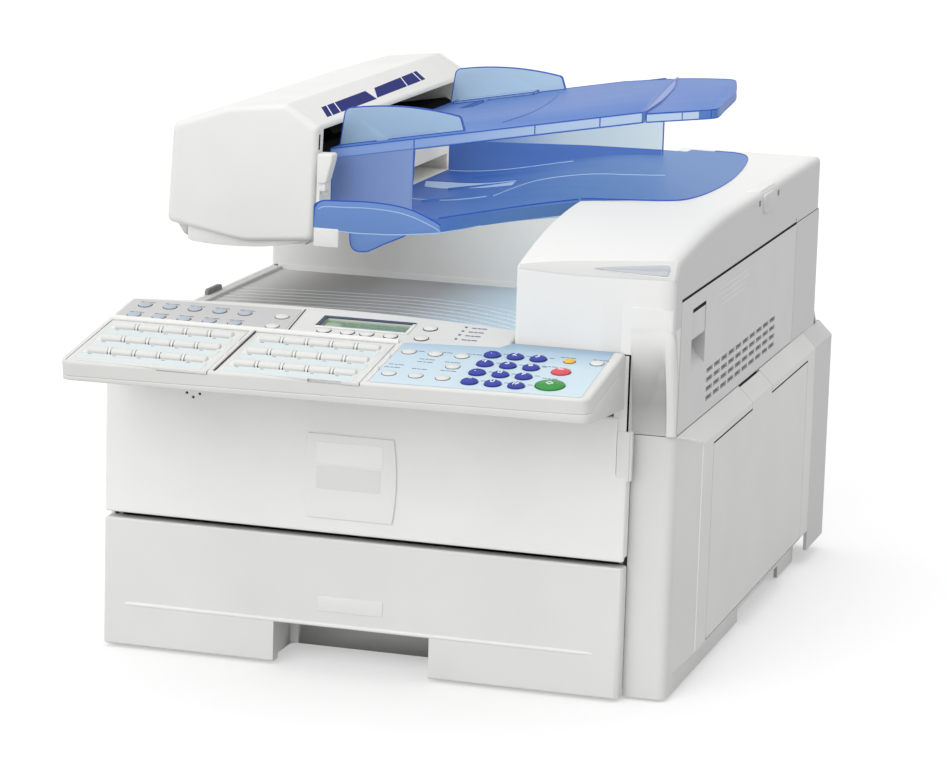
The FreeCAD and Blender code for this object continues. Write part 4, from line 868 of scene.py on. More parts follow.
def put(name: str, shell: Shell, place: Place, finish: object, body: str = Body.HOUSING,
        nodes: Sequence[str] = (), crease: float = 35.0) -> bpy.types.Object:
    """Make a piece from a shell.

    Args:
        name: the piece's name.
        shell: its drawing, in millimetres.
        place: puts the drawing into measured millimetres.
        finish: its material.
        body: the body that it rides on.
        nodes: the CAD nodes that it stands for.
        crease: the angle in degrees above which an edge stays sharp.

    Returns:
        The new object.
    """
    mesh = drawn(name, shell, place)
    mesh.shade_smooth()
    mesh.set_sharp_from_angle(angle=math.radians(crease))
    piece = shown(name, mesh)
    announce(piece, finish, body, nodes)
    return piece


class Skin(Enum):
    """How a CAD copy's flat faces are cut before its edges are rounded."""

    WHOLE = "whole"
    TRIANGLES = "triangles"


def merged_copy(node: str) -> bpy.types.Mesh:
    """Copy a CAD node's mesh and merge its loose triangles.

    Args:
        node: the CAD node.

    Returns:
        The copy.
    """
    mesh = frame["nodes"][node].data.copy()
    work = bmesh.new()
    work.from_mesh(mesh)
    bmesh.ops.remove_doubles(work, verts=work.verts, dist=2e-6)
    work.to_mesh(mesh)
    work.free()
    return mesh


def sharp_edges(node: str, least: float = 35.0) -> Array:
    """Return both ends of each sharp edge of a CAD node, in measured millimetres.

    Args:
        node: the CAD node.
        least: the least angle of a sharp edge, in degrees.

    Returns:
        An array (edges, 2, 3).
    """
    mesh = merged_copy(node)
    work = bmesh.new()
    work.from_mesh(mesh)
    turns = [(edge, edge.calc_face_angle(0.0)) for edge in work.edges if edge.is_manifold]
    ends = np.array([[vert.co for vert in edge.verts] for edge, turn in turns
                     if math.radians(least) < turn < math.radians(175.0)])
    work.free()
    bpy.data.meshes.remove(mesh)
    return ends * 1000 - ORIGIN_MM


def shown(name: str, data: bpy.types.ID) -> bpy.types.Object:
    """Put a mesh, lamp or camera into the scene as an object.

    Args:
        name: the object's name.
        data: what it shows.

    Returns:
        The new object.
    """
    piece = bpy.data.objects.new(name, data)
    bpy.context.scene.collection.objects.link(piece)
    return piece


def softened(node: str, finish: object, width: float, skin: Skin = Skin.WHOLE, segments: int = 3,
             angle: float = 40.0) -> bpy.types.Object:
    """Copy a CAD node and round its edges.

    Args:
        node: the CAD node.
        finish: the copy's material.
        width: how far the rounding reaches from an edge, in millimetres.
        skin: whether flat faces are joined whole or left as triangles.
        segments: faces across the rounding.
        angle: the least angle of an edge that is rounded, in degrees.

    Returns:
        The copy, which stands for the node.
    """
    mesh = merged_copy(node)
    work = bmesh.new()
    work.from_mesh(mesh)
    bmesh.ops.dissolve_limit(work, angle_limit=math.radians(0.6), verts=work.verts, edges=work.edges,
                             use_dissolve_boundaries=False)
    if skin is Skin.TRIANGLES:
        bmesh.ops.triangulate(work, faces=work.faces, ngon_method="BEAUTY")
    work.to_mesh(mesh)
    work.free()
    mesh.shade_smooth()
    piece = shown(node + "_shell", mesh)
    round_off = piece.modifiers.new("edge_round", "BEVEL")
    for key, value in {"width": width / 1000, "segments": segments, "limit_method": "ANGLE",
                       "angle_limit": math.radians(angle), "use_clamp_overlap": False, "loop_slide": False,
                       "harden_normals": True, "miter_outer": "MITER_ARC"}.items():
        setattr(round_off, key, value)
    announce(piece, finish, NODE_BODY[node], [node])
    return piece


def trimmed(node: str, finish: object, envelope: Shell, place: Place) -> bpy.types.Object:
    """Copy a CAD node and trim it to a rounded envelope that lies just inside its outer faces.

    Args:
        node: the CAD node.
        finish: the copy's material.
        envelope: a closed shell with rounded edges.
        place: puts the envelope into measured millimetres.

    Returns:
        The trimmed copy, which stands for the node.
    """
    raw = shown(node + "_raw", merged_copy(node))
    cutter = shown(node + "_envelope", drawn(node + "_envelope", envelope, place))
    trim = raw.modifiers.new("trim", "BOOLEAN")
    trim.operation = "INTERSECT"
    trim.solver = "EXACT"
    trim.object = cutter
    result = bpy.data.meshes.new_from_object(raw.evaluated_get(bpy.context.evaluated_depsgraph_get()))
    for spare in (raw, cutter):
        bpy.data.objects.remove(spare)
    result.shade_smooth()
    result.set_sharp_from_angle(angle=math.radians(28.0))
    piece = shown(node + "_shell", result)
    even = piece.modifiers.new("even_shading", "WEIGHTED_NORMAL")
    even.keep_sharp = True
    announce(piece, finish, NODE_BODY[node], [node])
    return piece


def dressed(node: str, finish: object) -> None:
    """Give a CAD node that stays showing its material."""
    coat(frame["nodes"][node], finish)
    log.info("%s keeps its CAD shape in %s", node, made(finish).name)


def lettered(name: str, character: str, place_at: tuple[float, float, float], place: Place, finish: object,
             body: str) -> None:
    """Print one plain character on a domed key.

    The flat letter is bent to the dome: each point drops by the square of its distance from the middle over
    twice the dome's radius.

    Args:
        name: the piece's name.
        character: the character.
        place_at: (across, up the slope, level of the dome's top).
        place: puts the drawing into measured millimetres.
        finish: the ink.
        body: the body that it rides on.
    """
    curve = bpy.data.curves.new(name, "FONT")
    curve.body = character
    curve.size = KEY_LETTER
    curve.align_x, curve.align_y = "CENTER", "CENTER"
    curve.extrude = 0.06
    curve.resolution_u = 3
    holder = bpy.data.objects.new(name, curve)
    mesh = bpy.data.meshes.new_from_object(holder)
    points = np.zeros(len(mesh.vertices) * 3)
    mesh.vertices.foreach_get("co", points)
    points = points.reshape(-1, 3)
    points[:, 2] -= (points[:, :2] ** 2).sum(axis=1) / (2 * KEY_DOME)
    shell = Shell(points + np.array(place_at), [list(face.vertices) for face in mesh.polygons])
    bpy.data.objects.remove(holder)
    bpy.data.curves.remove(curve)
    bpy.data.meshes.remove(mesh)
    put(name, shell, place, finish, body)


# Sub-assemblies


@dataclass
class Housing:
    """The white outer shells, the badge plate and what is moulded on them."""

    width: float = 355.0
    cover_low: float = 92.6
    cover_high: float = 187.0
    cassette_low: float = 2.0
    cassette_high: float = 89.3
    hump_left: float = 277.0
    hump_right: float = 383.0
    hump_top: float = 299.5
    hump_back: float = 444.0
    hump_lip: float = 227.5
    hump_foot: float = 170.0
    hump_sweep: float = 4.0
    crease_left: float = 278.6
    crease_rise: float = 8.9
    arch_slope: tuple[float, float] = (15.1, 6.7)
    arch_middle: tuple[float, float] = (64.0, 13.6)
    leg_left: float = 354.3
    leg_right: float = 378.66
    leg_round: float = 4.0
    lens_left: float = 327.5
    lens_length: float = 50.0
    bead_pitch: float = 12.3
    column_front: float = 12.2
    flat_from: float = 158.0
    skin: float = 0.22
    badge_left: float = 141.0
    badge_width: float = 60.0
    badge_bottom: float = 103.0
    badge_height: float = 56.0
    badge_rise: float = 1.4
    badge_bow: float = 2.4
    upper_label: Rect = (147.8, 139.4, 193.0, 153.8)
    lower_label: Rect = (148.0, 122.6, 191.8, 137.8)
    cassette_label: Rect = (150.3, 40.3, 195.0, 50.4)
    lip_z: float = 31.0
    door_top: float = 261.5
    door_front: float = 15.2
    door_back: float = 364.0
    side_out: float = 393.0
    side_mark: float = 382.95

    def build(self) -> None:
        """Make the shells, then the pieces on them."""
        softened("rear_riser", SHELL, 1.2, Skin.TRIANGLES)
        for node, finish in (("left_cover", SHELL), ("rear_cover", SHELL_HUMP_SHADED), ("right_cover", SHELL_SIDE_SHADED),
                             ("side_door", SHELL_SIDE_SHADED), ("vent_door", SHELL_DOOR_SHADED)):
            dressed(node, finish)
        for node, finish, low, high, depth in (
                ("front_cover", SHELL_COVER_LIT, self.cover_low, self.cover_high, -40.0),
                ("cassette", SHELL_LOW_SHADED, self.cassette_low, self.cassette_high, -400.0)):
            trimmed(node, finish, self.front_block(low, high, depth), on_front)
        trimmed("top_cover", SHELL_HUMP_SHADED, self.hump(), on_right)
        softened("output_tray", DECK, 0.5)
        dressed("rear_sockets", BLACK)
        self.badge()
        self.lips()
        self.leg()
        self.crest_band()
        self.side_beads()
        self.deck_lines()
        self.lens()
        self.seams()
        self.door_details()
        self.hinge_cap()

    def front_block(self, low: float, high: float, depth: float) -> Shell:
        """Return a block behind the front plane with a round of 1.6 mm along its front edges."""
        gap = self.skin
        return pad((gap, low + gap, self.width - gap, high - gap), 1.7, depth, -gap, 1.6, 6)

    def front_at(self, across: Array) -> Array:
        """Return how far behind the front plane the top cover's face lies at a width."""
        return self.hump_sweep * (self.hump_right - across) / (self.hump_right - self.hump_left)

    def hump_share(self, across: Array) -> Array:
        """Return how far across the top cover a width lies, from 0 at its left to 1 at its right."""
        return (across - self.hump_left) / (self.hump_right - self.hump_left)

    def crease(self, share: Array) -> Array:
        """Return the height of the top cover's sharp corner at a share of its width."""
        return self.crease_left + self.crease_rise * share - self.skin

    def crest(self, across: Array, turn: Array, lift: float = 0.0) -> Array:
        """Return points (back, up) on the soft crease between the top cover's front and its arch.

        The crease is a flat quadratic curve from a point below the sharp corner to one along the arch, with
        its middle control point between the chord and the corner; both reaches grow to the right as
        1 - (1 - share) ** 5.

        Args:
            across: widths.
            turn: 0 at the front face to 1 at the arch.
            lift: height of the points above the curve.

        Returns:
            One (back, up) per row.
        """
        share = self.hump_share(across)
        grow = 1 - np.clip(1 - share, 0, 1) ** 5
        slope = np.radians(self.arch_slope[0] - self.arch_slope[1] * share)
        corner = np.column_stack([self.front_at(across) + self.skin, self.crease(share)])
        start = corner - np.column_stack([0 * share, 1.2 + grow * (3.4 + 5.2 * share)])
        end = corner + (1.6 + 7.0 * grow)[:, None] * np.column_stack([np.cos(slope), np.sin(slope)])
        pull = 0.45 * corner + 0.275 * (start + end)
        t = turn[:, None]
        point = (1 - t) ** 2 * start + 2 * t * (1 - t) * pull + t ** 2 * end
        along = unit((1 - t) * (pull - start) + t * (end - pull))
        return point + lift * np.column_stack([-along[:, 1], along[:, 0]])

    def hump_section(self, across: float) -> Array:
        """Return the top cover's section at a width: upright front, soft crease, arch and flat top.

        The arch is the circle through the crease, a point behind it and the start of the flat top.

        Args:
            across: the width.

        Returns:
            One (back, up) per row, from the back to the front.
        """
        share = self.hump_share(across)
        front, top = float(self.front_at(across)) + self.skin, self.hump_top - self.skin
        start, end = np.array([front, self.crease(share)]), np.array([self.flat_from, top])
        chord = np.stack([np.array([self.arch_middle[0], self.arch_middle[1] - 6.0 * share]), end - start])
        centre = start + np.linalg.solve(2 * chord, (chord ** 2).sum(axis=1))
        first, last = (np.arctan2(*(point - centre)[::-1]) for point in (start, end))
        crest = self.crest(np.full(9, across), np.linspace(0, 1, 9))
        reach = np.linalg.norm(crest[-1] - start) / np.linalg.norm(end - start)
        sweep = first + (last - first) * np.linspace(reach + 0.03, 1, 24)
        arch = centre + np.linalg.norm(start - centre) * np.column_stack([np.cos(sweep), np.sin(sweep)])
        rear = self.hump_back - self.skin
        foot = self.hump_foot
        return np.concatenate([[[front, foot]], crest, arch, [[rear, top], [rear, foot]]])[::-1]

    def hump(self) -> Shell:
        """Carry the section across the machine, drawn in by quarter rounds at both ends.

        Returns:
            The closed block.
        """
        turn = np.linspace(0, np.pi / 2, 7)
        left_round, right_round = 1.5, 4.0
        left, right = self.hump_left + self.skin, self.hump_right - self.skin
        places = np.concatenate([left + left_round * (1 - np.cos(turn)),
                                 np.linspace(left + left_round, right - right_round, 14)[1:-1],
                                 right - right_round * (1 - np.cos(turn[::-1]))])
        insets = np.concatenate([left_round * (1 - np.sin(turn)), np.zeros(12),
                                 right_round * (1 - np.sin(turn[::-1]))])
        sections = np.stack([self.hump_section(place) for place in places])
        steps = np.stack([miter(section) for section in sections])
        return loft(stacked(sections + insets[:, None, None] * steps, places))

    def leg(self) -> None:
        """Fill the leg under the top cover with a smooth cove that runs back to the column, and rim it.

        A ring at a height is the leg's plan: its front lies behind the top cover's front by an easy S of
        10 mm, hollowed more and more to the right up to a narrow rim, and its right corner is rounded.
        """
        height = np.concatenate([np.linspace(175.0, 246.0, 38), [250.0, 258.0]])[:, None]
        depth = 10.0 * ease((240.0 - height) / 62.0) + 0.4 * ease((height - 245.0) / 5.0)
        limit = self.column_front - 0.3 - 0.29 * np.clip(height - 205.0, 0, 40)
        back = np.full_like(height, self.door_front - 0.2)
        turn = np.linspace(0, np.pi / 2, 7)[None, 1:]
        # The cove's finish paints its shade, a tone that runs up the leg
        for name, left, finish, ahead in (("top_cover_leg", self.leg_left, SHELL_COVE, 0.0),
                                          ("leg_rim", 376.8, SHELL, 0.06)):
            across = np.linspace(left, self.leg_right, 30)[None, :]
            share = np.clip((across - self.leg_left) / 20.5, 0, 1)
            wall = 1 - ease((across - 374.2) / 3.0)
            hollow = 8.0 * share ** 1.5 * wall * ease((236.0 - height) / 30.0)
            face = np.minimum(self.front_at(across) + 0.2 + depth + hollow, limit) - ahead
            corner = face[:, -1:] + self.leg_round * (1 - np.cos(turn))
            out = np.minimum(np.concatenate([face, corner, back, back], axis=1), back)
            reach = self.leg_round + ahead
            plan = np.concatenate([across, self.leg_right + reach * np.sin(turn),
                                   [[self.leg_right + reach, left]]], axis=1)
            rings = np.stack(np.broadcast_arrays(plan, out, height), axis=2)
            put(name, loft(rings), as_drawn, finish, crease=40.0)

    def crest_band(self) -> None:
        """Lay a band of the housing's plastic, darkened as painted shade, over the whole crease, which closes
        the lamp's seat.

        A ring is the section of the band: down the front face and over the crease, 1.2 mm thick.
        """
        across = np.linspace(self.hump_left + 1.6, 381.0, 60)
        turn = np.linspace(0, 1, 9)
        crest = np.stack([self.crest(across, np.full(60, t), 0.05) for t in turn], axis=1)
        crest += (0.25 * ease((across - 379.0) / 1.5))[:, None, None] * np.array([1.0, -1.0])
        foot = np.column_stack([self.front_at(across) + self.skin - 0.04,
                                np.minimum(crest[:, 0, 1] - 0.5, 277.4)])
        outer = np.concatenate([foot[:, None], crest], axis=1)
        inner = outer[:, ::-1] + np.array([1.2, -0.6])
        rings = np.roll(stacked(np.concatenate([outer, inner], axis=1), across), 1, axis=2)
        put("top_cover_crest", loft(rings[:, ::-1]), as_drawn, SHELL_CREST_SHADED, crease=50.0)

    def lens(self) -> None:
        """Seat the teardrop lamp on the soft crease, as rings of its outline that rise to a ridge.

        Half the outline's breadth grows as the 0.7th power of the run from the tip, and drops to nothing at
        the blunt end.
        """
        run = np.concatenate([np.linspace(0, 1, 40), np.linspace(1, 0, 40)[1:-1]])
        side = np.concatenate([-np.ones(40), np.ones(38)])
        blunt = np.sqrt(1 - np.clip((run - 0.93) / 0.07, 0, 1) ** 4)
        half = 0.29 * np.clip(run / 0.9, 0.01, 1) ** 0.7 * blunt + 0.004
        for name, finish, scale, low, high, nodes in (
                ("status_lens_rim", BLANK, 1.12, 0.0, 0.35, ()),
                ("status_lens_drop", LENS, 1.0, 0.2, 0.9, ["status_lens"])):
            rings = []
            for grow, lift in ((1.0, low - 1.0), (1.0, low + 0.15), (0.95, high - 0.2), (0.7, high - 0.05),
                               (0.2, high)):
                reach = 0.6 + (run - 0.6) * grow * (0.98 + scale / self.lens_length)
                across = self.lens_left + self.lens_length * reach
                flat = self.crest(across, 0.45 - 0.03 * run + side * half * grow * scale, lift)
                rings.append(np.column_stack([across, flat]))
            put(name, loft(np.stack(rings)), as_drawn, finish, nodes=nodes, crease=50.0)

    def badge(self) -> None:
        """Make the bowed badge plate with its two blank plates, and the blank plate on the cassette."""
        left, low = self.badge_left, self.badge_bottom
        right, high = left + self.badge_width, low + self.badge_height
        rise = np.linspace(-1, 1, 15)
        bulge = self.badge_bow * (1 - rise ** 2) - 0.9
        up = (low + high) / 2 + rise * self.badge_height / 2
        sides = [np.column_stack([right + bulge, up]), np.column_stack([left - bulge, up])[::-1]]
        plate = slab(np.concatenate(sides), 0.05, self.badge_rise, 0.6, 4)
        put("badge_plate_bowed", plate, on_front, SHELL_COVER_LIT, Body.COVER, nodes=["badge_plate"])
        top = self.badge_rise + 0.35
        for name, rect, finish in (("badge_blank_labels", self.upper_label, BLANK),
                                   ("badge_blank_lower", self.lower_label, PLATE)):
            put(name, pad(rect, 1.2, top - 0.45, top, 0.25), on_front, finish, Body.COVER)
        blank = pad(self.cassette_label, 1.0, -0.1, 0.3, 0.2)
        put("cassette_blank_label", blank, on_front, PLATE, Body.CASSETTE)

    def lips(self) -> None:
        """Lay the raised lip across the cassette front, sunk into it at both ends."""
        plan = [(12.0, 2.4), (22.0, 1.0), (60.0, 0.9), (300.0, 0.9), (330.0, 1.0), (340.0, 2.4)]
        path = level(smooth(plan, 60), self.lip_z)
        # Painted highlight: the lip takes the front cover's lighter finish
        put("cassette_lip_line", tube(path, 1.5, 16), as_drawn, SHELL_COVER_LIT, Body.CASSETTE)

    def seams(self) -> None:
        """Draw the dark gaps round the doors and the top cover's lip as black strips of painted shade, and
        close the joints beside the leg.
        """
        top, lip_low = self.door_top, self.hump_lip
        runs = [(self.door_front + 0.3, top - 0.6, self.door_back, top + 1.2),
                (self.door_back + 1.5, top - 0.2, self.hump_back - 4, top + 0.4)]
        door = tiles(runs, 382.3, self.side_mark)
        lower = tiles([(80.0, 158.4, 194.0, 159.5), (257.0, 158.4, 378.0, 159.5)], self.side_out - 0.5,
                      self.side_out + 0.06)
        put("door_gap_lines", joined([door, lower]), on_right, BLACK)
        across = np.linspace(self.hump_left + 1, self.width - 1, 30)
        lip = np.column_stack([across, self.front_at(across) + 0.5, np.full(30, lip_low - 0.2)])
        gap = tiles([(353.2, 1.9, 354.32, 2.5)], 175.2, lip_low)
        put("top_cover_gap", joined([tube(lip, 0.5), gap]), as_drawn, BLACK)
        strip = tiles([(351.2, 1.85, 353.2, 4.0), (344.6, 1.6, 353.2, 2.9), (352.0, 2.5, 354.28, 15.0)],
                      175.2, lip_low - 0.4)
        slot = tiles([(353.2, self.front_at(353.9) + 0.24, 354.6, 6.0)], lip_low + 0.1, 247.0)
        notch = tiles([(347.7, 0.9, 355.6, 2.6), (354.4, 2.6, 357.0, 6.0)], 146.0, 178.0)
        stop = tiles([(374.0, 193.0, 380.3, 257.0)], 173.2, 174.9)
        put("gap_fillers", joined([strip, slot, notch, stop]), as_drawn, SHELL)

    def door_details(self) -> None:
        """Finish the upper door: a flap and a hollow in its grip, a shaded grille and four raised lines."""
        flap = pad((45.6, 231.5, 82.4, 249.4), 1.0, 379.0, 382.7, 0.4)
        put("grip_flap", flap, on_right, SHELL_DOOR_SHADED, Body.VENT_DOOR)
        hollow = [tiles([(45.2, 211.2, 82.8, 247.0)], 374.05, 374.5),
                  tiles([(92.0, 182.0, 304.0, 206.0)], 381.0, 381.5)]
        put("door_shaded_liner", joined(hollow), on_right, SHADED, Body.VENT_DOOR)
        # Painted shade: a black strip in the slit above the grip's flap
        slit = tiles([(46.0, 249.2, 82.0, 251.6)], 382.0, 383.1)
        put("grip_slit", slit, on_right, BLACK, Body.VENT_DOOR)
        runs = ((119.0, 211.0, 248.9), (122.0, 213.0, 252.6), (126.0, 198.0, 244.8), (126.0, 198.0, 241.4))
        side = self.hump_right
        lines = [tube(smooth([(side, start, up), (side, end, up)], 6), 0.28) for start, end, up in runs]
        put("door_fine_lines", joined(lines), as_drawn, SHELL, Body.VENT_DOOR)

    def side_beads(self) -> None:
        """Run a light bead, a painted highlight of the rounded edge, down the front edge of the lower right
        cover's bulge, and up to the column.
        """
        out, front = self.side_out + 0.05, 47.2
        path = np.array([(383.4, 13.6, 174.6), (388.3, 30.4, 170.6), (392.6, 45.6, 166.8),
                         (out, front, 163.0), (out, front, 95.0), (out, front, 27.0)])
        put("bulge_highlight_bead", tube(path, 0.45), as_drawn, SHELL_HIGHLIGHT)

    def deck_lines(self) -> None:
        """Run bowed beads across the output tray as painted highlights on its ridges, close the slot under
        the riser and set the rim's bump.
        """
        bow = smooth([(9.0, 233.2), (60.5, 242.2), (104.7, 247.5), (140.5, 249.0), (180.7, 241.8),
                      (214.1, 224.8), (245.0, 203.0), (273.0, 180.0)], 60)
        lines = [tube(level(bow + np.array([0.0, -self.bead_pitch * i]), 206.1), 0.5) for i in range(6)]
        put("output_ridge_highlights", joined(lines), as_drawn, DECK_GLINT)
        put("riser_foot", tiles([(5.5, 319.2, 276.4, 320.6)], 205.6, 210.0), as_drawn, SHELL)
        bump = pad((181.0, 206.0, 209.0, 212.4), 3.0, 0.3, 3.0, 0.5)
        put("output_rim_bump", bump, on_right, SHADED)

    def hinge_cap(self) -> None:
        """Make the hinge cap on the top cover's right edge, with a tab on the side and two small holes."""
        side = pad((246.0, 284.0, 284.0, 297.5), 6.0, 382.0, 383.9, 1.0)
        put("hinge_cap_tab", side, on_right, SHELL_HUMP_SHADED)
        put("hinge_cap_top", pad((368.5, 249.0, 380.0, 294.0), 1.0, 298.8, 300.2, 0.6), as_drawn, SHELL)
        holes = tiles([(233.0, 291.5, 238.0, 295.5), (293.0, 291.0, 298.0, 295.0)], 382.2, self.side_mark)
        put("hinge_cap_holes", holes, on_right, SHADED)


@dataclass
class Feeder:
    """The document feeder with its domed end caps, label slope, mouth and lever."""

    base: float = 264.0
    front: float = 88.0
    back: float = 440.0
    cap: float = 12.0
    ridge: float = 90.0
    ridge_rise: float = 95.5
    mouth_rise: float = 62.5
    roof_rise: float = 79.4
    fall: tuple[float, float] = (23.5, 14.0)

    def section(self, grow: float) -> Array:
        """Return the feeder's rounded cross-section, counter-clockwise seen from the front.

        Args:
            grow: how far its sides are moved out.

        Returns:
            One (across, up) per row.
        """
        base = self.base
        corners = [(9.0 - grow, base + 13.0 - grow, 4), (62.0, base + 3.0 - grow, 60),
                   (108.5 + grow, base + 7.0 - grow, 4), (111.0 + grow, base + 79.0 + grow, 3),
                   (90.0, base + 93.0 + grow, 6), (50.0, base + 88.5 + grow, 30),
                   (12.5 - grow, base + 75.5 + grow, 6)]
        return rounded(corners, 9)

    def cap_shell(self, inner: float, outer: float) -> Shell:
        """Carry the section from the joint to the face along a quarter ellipse, so that the cap is domed.

        Args:
            inner: where the cap joins the feeder.
            outer: where its face lies.

        Returns:
            The closed cap.
        """
        turn = np.linspace(0, np.pi / 2, 9)
        inset = np.concatenate([[0.0, 0.0], 4.0 * (1 - np.cos(turn[1:]))])
        depth = np.concatenate([[0.0, 0.5], 0.5 + 0.5 * np.sin(turn[1:])])
        flat = np.stack([self.section(2.5 - step) for step in inset])
        return loft(stacked(flat, inner + (outer - inner) * depth))

    def on_slope(self, points: Array) -> Array:
        """Lay drawing points (down the label slope, back, out) on the feeder cover.

        Args:
            points: one (down, back, out) per row.

        Returns:
            The points in measured millimetres.
        """
        down, along, out = np.asarray(points, float).T
        run, drop = np.array(self.fall) / math.hypot(*self.fall)
        return np.column_stack([self.ridge + down * run + out * drop, along,
                                self.base + self.ridge_rise - down * drop + out * run])

    def build(self) -> None:
        """Make the caps, the shells and the printed bars."""
        front = self.cap_shell(-self.front - self.cap, -self.front)
        rear = self.cap_shell(self.back - self.cap, self.back)
        rear_points = rear.points * np.array([1.0, 1.0, -1.0])
        rear = Shell(rear_points, [face[::-1] for face in rear.faces])
        put("feeder_caps_domed", joined([front, rear]), on_front, SHELL, nodes=["feeder_end_caps"],
            crease=50.0)
        room = np.array([(-5.0, 250.0), (115.5, 250.0), (115.5, 312.0), (140.0, 312.0), (140.0, 380.0),
                         (-5.0, 380.0)])
        trimmed("feeder_base", SHELL, slab(room, -460.0, -60.0, 0.01, 2), on_front)
        softened("feeder_cover", SHELL, 1.0)
        self.lever()
        dressed("feed_roller", RUBBER)
        dressed("image_sensor", BLACK)
        self.mouth()
        self.printed_bars()

    def mouth(self) -> None:
        """Line the mouth with black, a bed and a roof under the cover, and draw the slit by the lever."""
        span = (-(self.back - self.cap - 3), -(self.front + self.cap + 3))
        low, high, inner = self.base + self.mouth_rise, self.base + self.roof_rise, self.base + 70
        bed = np.array([(42, low - 9.6), (99, low + 0.4), (107.5, low - 4.6), (107.5, low - 4.0),
                        (99, low + 1.0), (42, low - 9.0)])
        roof = np.array([(22, inner), (104, high - 0.2), (110, high - 0.2), (110, high + 0.3),
                         (104, high + 0.3), (22, inner + 0.5)])
        for name, outline, body in (("feeder_mouth_bed", bed, Body.HOUSING),
                                    ("feeder_mouth_roof", roof, Body.FEEDER_COVER)):
            put(name, loft(np.stack([level(outline, end) for end in span])), on_front, BLACK, body)
        # Painted shade: a black tube in the slit beside the lever
        slit = tube(np.array([(113.1, 92.5, 330.0), (113.25, 92.5, 335.0), (113.4, 92.5, 340.0)]), 0.5)
        put("lever_slit", slit, as_drawn, BLACK)

    def lever(self) -> None:
        """Make the release lever, a tapered tab on a short stem, and the feeder's belly and foot by it."""
        tab = rounded([(113.9, 307.8, 1.5), (120.4, 308.4, 2.5), (124.3, 323.4, 3.0), (124.8, 328.4, 1.5),
                       (113.9, 328.2, 1.5)], 6)
        stem = rounded([(115.0, 303.0, 1.0), (119.4, 303.0, 1.0), (119.4, 310.0, 1.0),
                        (115.0, 310.0, 1.0)], 4)
        lever = joined([slab(tab, -96.0, -86.0, 1.2, 5), slab(stem, -95.0, -88.0, 0.5, 3)])
        put("feeder_lever_tab", lever, on_front, SHELL, NODE_BODY["feeder_lever"],
            ["feeder_lever"])
        curve = smooth([(23.0, 261.6), (38.5, 260.5), (59.1, 260.6), (79.6, 262.2), (98.6, 266.3),
                        (106.6, 269.7)], 30)
        belly = np.concatenate([[(106.6, 276.0), (20.2, 276.0), (20.2, 263.0)], curve])
        put("feeder_belly", slab(belly, -316.0, -94.0, 0.6, 3), on_front, SHELL)
        foot = pad((113.2, 266.2, 130.6, 278.8), 1.0, -85.4, -84.2, 0.6)
        put("feeder_foot", foot, on_front, SHELL)

    def printed_bars(self) -> None:
        """Print two navy bars with slanted ends on the label slope, and cross them with fine white lines."""
        low = [(12.5, 131.1), (22.0, 120.4), (21.3, 228.3), (11.5, 227.4)]
        high = [(11.6, 247.7), (20.6, 231.4), (19.2, 346.9), (9.4, 350.9)]
        bars = [slab(np.array(outline), -0.3, 0.12, 0.04, 2) for outline in (low, high)]
        put("label_bars", joined(bars), self.on_slope, INK_NAVY, Body.FEEDER_COVER)
        runs = (((12.6, 141.6), (21.9, 131.0)), ((12.4, 158.0), (21.8, 149.0)),
                ((10.4, 311.3), (19.8, 302.3)), ((9.9, 341.0), (19.4, 336.0)))
        ticks = [tube(level(smooth(run, 4), 0.1), 0.45) for run in runs]
        put("label_bar_ticks", joined(ticks), self.on_slope, INK_WHITE, Body.FEEDER_COVER)


